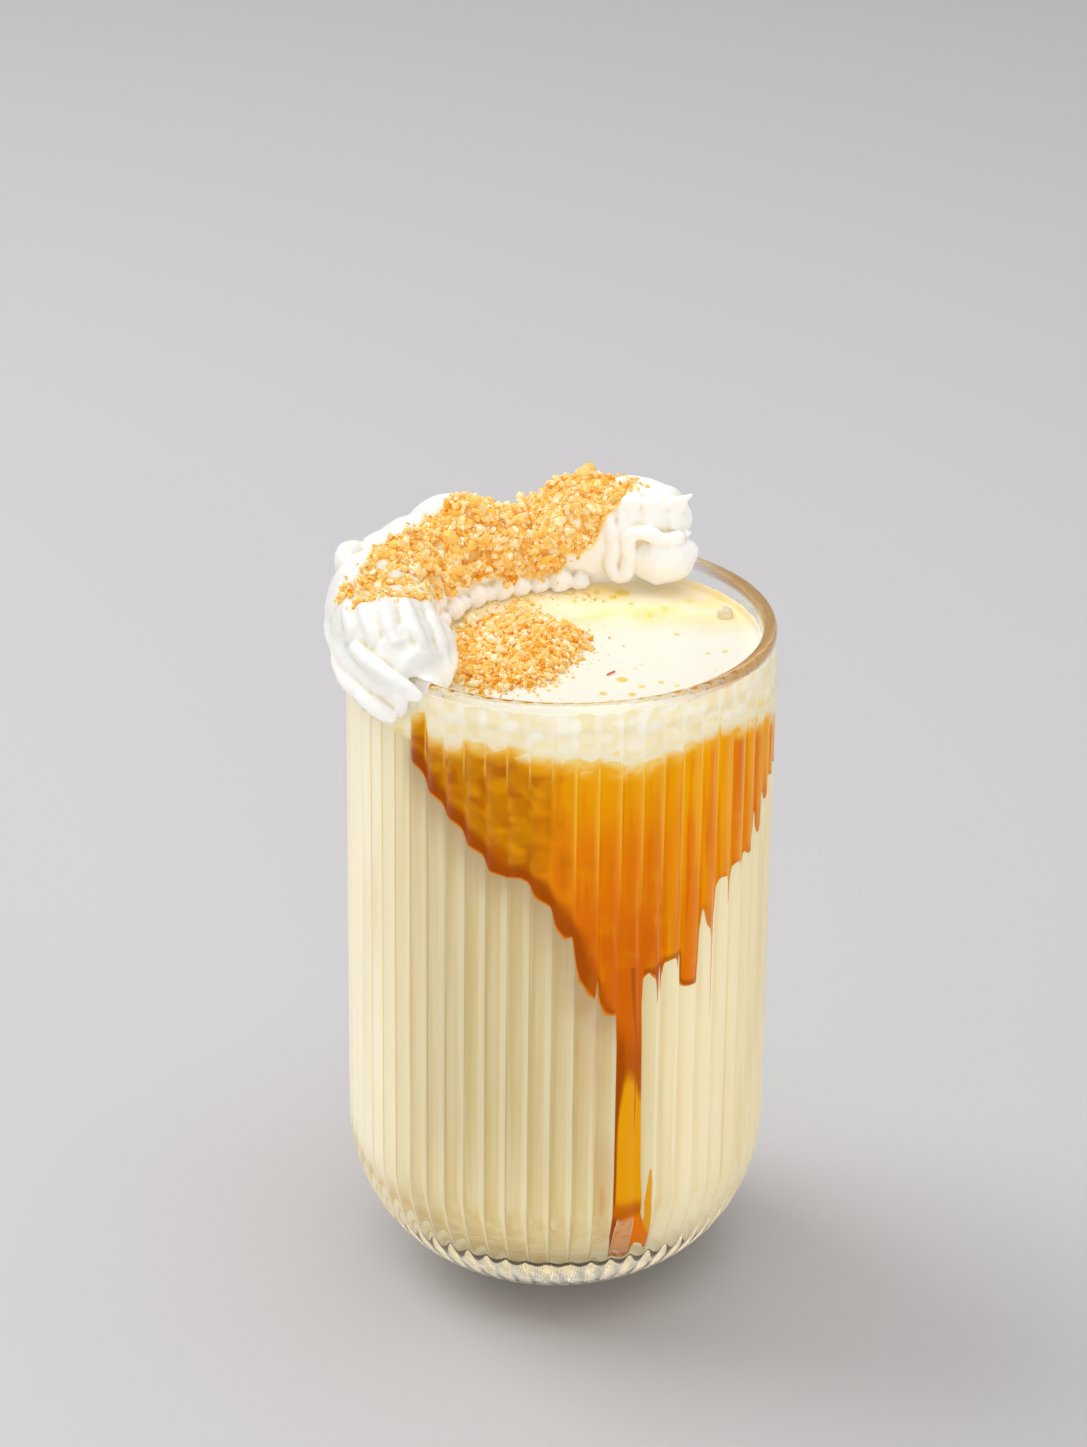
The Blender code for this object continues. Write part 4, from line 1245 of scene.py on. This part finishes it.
def random_turns(dice, count):
    """Rotation matrices, spread evenly over all directions."""
    q = dice.normal(size=(count, 4))
    w, x, y, z = (q / np.linalg.norm(q, axis=1, keepdims=True)).T
    rows = [
        [1 - 2 * (y * y + z * z), 2 * (x * y - z * w), 2 * (x * z + y * w)],
        [2 * (x * y + z * w), 1 - 2 * (x * x + z * z), 2 * (y * z - x * w)],
        [2 * (x * z - y * w), 2 * (y * z + x * w), 1 - 2 * (x * x + y * y)],
    ]
    return np.array(rows).transpose(2, 0, 1)


def scatter(name, crumbs, seed):
    """One mesh of (place, size, lift) crumbs. Each has its own stone, turn and stretch. Deep ones are painted
    darker, as shade.
    """
    places, sizes, lifts = [np.array(column) for column in zip(*crumbs)]
    dice = np.random.default_rng(seed)
    count = len(places)
    shapes = stone_points[dice.integers(0, STONES, count)]
    shapes = shapes * dice.uniform(0.55, 1.5, (count, 1, 3)) * sizes[:, None, None]
    shapes = np.einsum("nij,npj->npi", random_turns(dice, count), shapes)
    points = (shapes + places[:, None, :]).reshape(-1, 3)
    first = np.arange(count)[:, None, None] * shapes.shape[1]
    faces = (stone_faces[None] + first).reshape(-1, 3)
    mesh = bpy.data.meshes.new(name)
    mesh.from_pydata(points.tolist(), [], faces.tolist())
    mesh.shade_flat()
    piece = bpy.data.objects.new(name, mesh)
    bpy.context.scene.collection.objects.link(piece)
    # The tone is part random and part painted shade: crumbs that lie deeper get darker.
    add_attribute(piece, "tone_and_depth_shade", np.repeat(0.55 * lifts + 0.45 * dice.random(count), shapes.shape[1]))
    return piece


def crumb_size(dice):
    return CRUMB_SIZE * math.exp(dice.gauss(0, CRUMB_SPREAD))


# %% [markdown]
# The crumbs lie on the rope's crest and on the slope towards the drink, with a few bare patches. Seen in the
# rope's own section, each place has a lean: 0 degrees points outwards, 90 up and 180 inwards. Rays shot at
# the rope from random leans find where the crumbs land. A bare patch is a row: its angle, its lean, and half
# its reach both ways.

# %% Crumbs on the cream
OUTER_LEAN = (
    (62, 100), (68, 100), (72, 80), (80, 62), (90, 58), (105, 55), (118, 60), (124, 88), (135, 98), (141, 92),
    (156, 92), (163, 88), (170, 82), (175, 72), (181, 60), (186, 38), (192, 36), (197, 50), (201, 66),
    (206, 95),
)
INNER_LEAN = (
    (62, 97), (68, 112), (71, 130), (75, 152), (79, 176), (85, 190), (91, 200), (97, 194), (104, 184),
    (118, 190), (134, 188), (150, 180), (158, 176), (170, 166), (180, 154), (190, 142), (196, 132),
    (206, 100),
)
BARE = (
    (146, 80, 3.0, 14), (135, 91, 5, 6), (183.5, 82, 3, 12), (185.5, 102, 3.5, 13), (182, 124, 4.5, 12),
    (175, 146, 5, 10), (167, 158, 5, 8), (72, 100, 2.5, 10), (84, 150, 3, 12), (174, 48, 3, 10),
    (194, 49, 2.5, 9), (201, 79, 2.5, 9), (204.5, 100, 2.5, 9), (160.5, 70, 3, 9), (134.5, 63, 3, 9),
    (182, 62, 2.5, 8),
)
CREAM_CRUMBS = 9300
FLAKE_EVERY = 420
FLAKE_SIZE = 2.2 * CRUMB_SIZE
LEAN_FADE = 18.0
PATCH_SIZE = 2.6 * MM
STRAY = 0.04
LEAN_RANGE = (36, 226)
RAY_START = 20 * MM


def crumb_chance(angle, lean):
    """How likely a crumb stays on the rope: less near the zone's edges, hardly ever on a bare patch."""
    low = between(OUTER_LEAN, angle)
    high = between(INNER_LEAN, angle)
    chance = min(1.0, (lean - low) / LEAN_FADE + 0.25, (high - lean) / LEAN_FADE + 0.25)
    for middle, height, half_angle, half_lean in BARE:
        apart = math.hypot((angle - middle) / half_angle, (lean - height) / half_lean)
        chance = min(chance, max(STRAY, 1.8 * (apart - 0.75)))
    return chance


cream_tree = BVHTree.FromObject(cream, bpy.context.evaluated_depsgraph_get())
dice = random.Random(7)
crumbs = []
while len(crumbs) < CREAM_CRUMBS:
    angle = dice.uniform(OUTER_LEAN[0][0], OUTER_LEAN[-1][0])
    lean = dice.uniform(*LEAN_RANGE)
    if dice.random() > crumb_chance(angle, lean):
        continue
    radius, height = rope_section(angle)[:2]
    turn = math.radians(lean)
    ahead = polar(angle, math.cos(turn), math.sin(turn))
    start = polar(angle, radius * MM, height * MM) + ahead * RAY_START
    hit, normal, face, distance = cream_tree.ray_cast(start, -ahead)
    if hit is None or hit.z < DRINK_LEVEL:
        continue
    patches = 0.85 + 2.6 * patch_noise(hit / PATCH_SIZE) - max(0.0, (angle - 152) / 48)
    if dice.random() > max(STRAY, patches):
        continue
    size = crumb_size(dice)
    lift = dice.random()
    if len(crumbs) % FLAKE_EVERY == 0:
        size = FLAKE_SIZE
        lift = 0.8
    crumbs.append((hit + normal * size * (0.05 + CRUMB_LIFT * lift), size, lift))
cream_grains = np.array([place for place, size, lift in crumbs])
cream_crumbs = scatter("crumbs_on_cream", crumbs, 11)
print(len(crumbs), "crumbs on the cream")

# %% [markdown]
# A flat heap lies on the foam, and single crumbs are strewn round it. The heap is a low mound, lofted from
# rings and roughened, and it carries a layer of crumbs that thins out past its edge.

# %% The heap
HEAP_CENTRE = (-8.2 * MM, -2.6 * MM)
HEAP_HALF_LENGTH = 16.6 * MM
HEAP_HALF_WIDTH = 11.0 * MM
HEAP_TURN = math.radians(8)
HEAP_HEIGHT = 1.9 * MM
HEAP_CRUMBS = 3600
HEAP_RINGS = 26
HEAP_SECTORS = 150


def heap_place(turn, share):
    """A place in the heap's outline, an uneven oval turned a little, at a share of its reach."""
    uneven = 1 + 0.08 * math.sin(3 * turn + 1.0) + 0.05 * math.sin(5 * turn)
    along = HEAP_HALF_LENGTH * math.sin(turn) * share * uneven
    across = HEAP_HALF_WIDTH * math.cos(turn) * share * uneven
    x = HEAP_CENTRE[0] + across * math.cos(HEAP_TURN) + along * math.sin(HEAP_TURN)
    y = HEAP_CENTRE[1] + along * math.cos(HEAP_TURN) - across * math.sin(HEAP_TURN)
    return x, y


def heap_height(share):
    return 0.8 * HEAP_HEIGHT * math.sqrt(max(0.0, 1 - share ** 2.2))


rows = [(1 - i / HEAP_RINGS, 0.0) for i in range(HEAP_RINGS)]
heap = turned_solid("crumb_heap_core", HEAP_SECTORS, rows, 60)
for vert in heap.data.vertices:
    share = vert.co.xy.length
    x, y = heap_place(math.atan2(vert.co.y, vert.co.x), share * 0.93)
    vert.co = (x, y, DRINK_LEVEL - 0.2 * MM + heap_height(share))
apply_modifier(heap, "DISPLACE", texture=lumps, texture_coords="OBJECT", strength=1.0 * MM, mid_level=0.5)

dice = random.Random(3)
crumbs = []
for number in range(HEAP_CRUMBS):
    turn = dice.uniform(0, 2 * math.pi)
    share = 1.04 * math.sqrt(dice.random())
    if share > 0.9 and dice.random() < 0.45:
        share += abs(dice.gauss(0, 0.09))
    size = crumb_size(dice)
    lift = dice.random()
    height = heap_height(min(1.0, share)) + (0.05 + CRUMB_LIFT * lift) * size
    crumbs.append(((*heap_place(turn, share), DRINK_LEVEL + height), size, lift))
heap_crumbs = join_all(scatter("heap_of_crumbs", crumbs, 12), [heap])
print(len(crumbs), "crumbs on the heap")

# %% [markdown]
# Single crumbs are strewn around the heap, and along the foot of the cream, where they fell off.

# %% Strewn crumbs
ROUND_HEAP = 170
BESIDE_CREAM = 300
STREWN_LIFT = 0.7
dice = random.Random(5)
crumbs = []
for number in range(ROUND_HEAP):
    turn = dice.uniform(0, 2 * math.pi)
    x, y = heap_place(turn, 1.05 + abs(dice.gauss(0, 0.22)))
    size = 0.55 * crumb_size(dice)
    if math.hypot(x, y) < 34 * MM:
        crumbs.append(((x, y, DRINK_LEVEL + size * 0.3), size, STREWN_LIFT))
for number in range(BESIDE_CREAM):
    angle = dice.uniform(66, 172)
    radius = dice.uniform(20.5, 26) * MM
    size = 0.75 * crumb_size(dice)
    place = polar(angle, radius, DRINK_LEVEL + size * 0.5)
    if cream_tree.find_nearest(place)[3] < dice.expovariate(1 / (2.5 * MM)):
        crumbs.append((place, size, STREWN_LIFT))
strewn = scatter("strewn_crumbs", crumbs, 13)
print(len(crumbs), "strewn crumbs")

# %% [markdown]
# Crumbs are baked dough: matt, golden, lighter on broken faces. Each crumb's tone, part random and part
# painted shade that darkens the deeper ones, picks a colour between brown and pale straw, and a little light
# goes through it, so that no crumb has a hard black side. A painted glow in their own colour lightens them
# too.

# %% Biscuit material
BISCUIT_BROWN = shade(237, 157, 18)
BISCUIT_GOLD = shade(251, 207, 106)
BISCUIT_PALE = shade(255, 247, 214)
biscuit = new_material(
    "biscuit_crumb", Roughness=0.85, Specular_IOR_Level=0.15, Subsurface_Weight=0.3,
    Subsurface_Scale=0.3 * MM, Subsurface_Radius=(1, 0.6, 0.3), Emission_Strength=0.13
)
tone_and_depth_shade = attribute("tone_and_depth_shade")
colour = layered(
    BISCUIT_BROWN,
    (spread(tone_and_depth_shade, 0.1, 0.5), BISCUIT_GOLD),
    (spread(tone_and_depth_shade, 0.45, 0.95), BISCUIT_PALE),
    (spread(noise(2600, 2), 0.55, 0.8, 0, 0.5), BISCUIT_BROWN),
)
feed(colour, "Base Color")
# Painted glow: the crumbs glow a little in their own colour.
feed(colour, "Emission Color")
roughen(noise(3000, 2), 0.1 * MM, 0.6)
dress(cream_crumbs, biscuit, "biscuit_crumb")
dress(heap_crumbs, biscuit, "biscuit_crumb", "crumb_heap")
dress(strewn, biscuit, "biscuit_crumb")

# %% [markdown]
# The golden stain on the cream, partly crumb dust and partly painted shade between crumbs, is counted from
# the crumbs: space is divided into small cells, and each point of the cream gets the number of crumbs in its
# own cell and the ones beside it.

# %% Stain of the crumbs on the cream
STAIN_REACH = 0.8 * MM
FULL_STAIN = 24
STAIN_TURNS = 4
around = [(x, y, z) for x in (-1, 0, 1) for y in (-1, 0, 1) for z in (-1, 0, 1)]
counts = {}
for step in around:
    for key in map(tuple, np.floor(cream_grains / STAIN_REACH).astype(int) + step):
        counts[key] = counts.get(key, 0) + 1
cells = np.floor(cream_points / STAIN_REACH).astype(int)
stains = np.array([[min(1.0, counts.get(tuple(cell), 0) / FULL_STAIN)] for cell in cells])
add_attribute(cream, "stain", smoothed(stains, STAIN_TURNS)[:, 0])
print("cream cells with crumbs:", len(counts))

# %% [markdown]
# The cream's white goes over to a painted warm shade in the creases, and to gold under the crumbs, partly
# painted shade. A painted glow lightens it a little, most on the right and along its foot.

# %% Whipped cream material
CREAM_WHITE = shade(252, 249, 242)
CREAM_CREASE_SHADE = shade(226, 210, 172)
CREAM_STRAW = shade(252, 228, 166)
CREAM_CRUMB_DUST_AND_SHADE = shade(244, 184, 84)
cream_finish = new_material(
    "whipped_cream", Roughness=0.42, Specular_IOR_Level=0.35, Subsurface_Weight=0.5,
    Subsurface_Scale=2.2 * MM, Subsurface_Radius=(1, 0.85, 0.65), Emission_Strength=0.2
)
stain = attribute("stain")
colour = layered(
    CREAM_WHITE,
    # Painted shade: warm in the creases.
    (spread(attribute("crease"), 0, 0.42 * MM, 0, 0.9), CREAM_CREASE_SHADE),
    # Crumb dust and painted shade: golden under the crumbs.
    (spread(stain, 0.15, 0.6), CREAM_STRAW),
    (spread(stain, 0.5, 1), CREAM_CRUMB_DUST_AND_SHADE),
)
# Painted glow: most on the right and along the foot.
on_right = spread(own_axis("X"), -25 * MM, 12 * MM, 0.15, 1)
at_foot = spread(own_axis("Z"), 131.5 * MM, 128 * MM)
paint(cream_finish, colour, maths("MAXIMUM", on_right, at_foot))
roughen(noise(1100, 3), 0.06 * MM, 0.5)
dress(cream, cream_finish, "whipped_cream", "whipped_cream")

# %% [markdown]
# One large bubble stands on the foam near the wall: a thin milky dome, most clear where it is seen face on.
# It is a small sphere, sunk in the foam to below its middle. A short red fibre, a few millimetres long, lies
# in front.

# %% Bubble and thread
BUBBLE_MIDDLE = (30.3 * MM, 14.3 * MM, DRINK_LEVEL + 0.4 * MM)
BUBBLE_RADIUS = 1.6 * MM
THREAD = ((8.2, -12.9, 0.0), (8.9, -12.2, 0.1), (9.6, -11.5, 0.1))
THREAD_RADIUS = 0.16 * MM
bubble = added(
    bpy.ops.mesh.primitive_uv_sphere_add, segments=32, ring_count=20, radius=BUBBLE_RADIUS,
    location=BUBBLE_MIDDLE
)
bubble.name = "milk_bubble"
bubble.data.shade_smooth()
bubble_film = new_material("bubble_film", Roughness=0.08, IOR=1.4)
feed(layered(shade(250, 244, 230), (spread(noise(700, 1), 0.3, 0.7), shade(238, 230, 208))), "Base Color")
facing = node("LayerWeight", {"Blend": 0.4}, "Facing")
feed(spread(facing, 0.1, 0.6, 0.4, 1), "Alpha")
dress(bubble, bubble_film, "froth")

on_foam = Vector((0, 0, DRINK_LEVEL + 0.15 * MM))
places = [Vector(place) * MM + on_foam for place in THREAD]
thread = round_curve("red_thread", places, (1, 1, 1), THREAD_RADIUS, corners=3, steps=12)
make_meshes([thread])
thread.data.shade_smooth()
thread_finish = new_material("red_thread", Roughness=0.5)
feed(layered(shade(214, 62, 34), (spread(noise(2500, 2), 0.3, 0.7), shade(240, 110, 64))), "Base Color")
dress(thread, thread_finish, "biscuit_crumb")

# %% [markdown]
# The stage is a wide pale table top. A wide lamp hangs overhead, so the round heel throws its shadow close to
# the foot. A second one shines from the back left, three weaker ones stand low at the right, in front and at
# the left, and a pale world fills the shadows, as in a studio with white walls.

# %% Floor and light
bpy.ops.object.select_all(action="DESELECT")
bpy.ops.mesh.primitive_plane_add(size=8, location=(0, 1, 0))
floor = bpy.context.object
floor.name = "table_top"
floor_finish = new_material("table_top", Roughness=0.7)
grain = spread(noise(900, 3), 0.3, 0.7, 0, 0.05)
feed(layered(shade(212, 210, 212), (grain, shade(187, 185, 186))), "Base Color")
floor.data.materials.append(floor_finish)


def soft_lamp(name, place, size, power):
    """A square lamp that faces the drink."""
    bpy.ops.object.light_add(type="AREA", location=place)
    lamp = bpy.context.object
    lamp.name = name
    lamp.data.size = size
    lamp.data.energy = power
    lamp.rotation_euler = (Vector((0, 0, 0.09)) - Vector(place)).to_track_quat("-Z", "Y").to_euler()


soft_lamp("key_lamp", (-0.75, 0.45, 1.15), 0.8, 8.6)
soft_lamp("ceiling_lamp", (0.1, 0.1, 1.3), 1.1, 7.0)
soft_lamp("right_lamp", (1.2, -0.8, 0.24), 0.7, 2.4)
soft_lamp("front_lamp", (0.2, -1.45, 0.26), 0.7, 4.6)
soft_lamp("left_lamp", (-1.2, -0.8, 0.24), 0.7, 2.1)
world = bpy.data.worlds.new("studio")
world.use_nodes = True
world.node_tree.nodes["Background"].inputs["Color"].default_value = (1.0, 0.995, 0.99, 1.0)
world.node_tree.nodes["Background"].inputs["Strength"].default_value = 0.3
bpy.context.scene.world = world
bpy.context.scene.view_settings.view_transform = "Standard"
print("stage, lamps and world are in place")
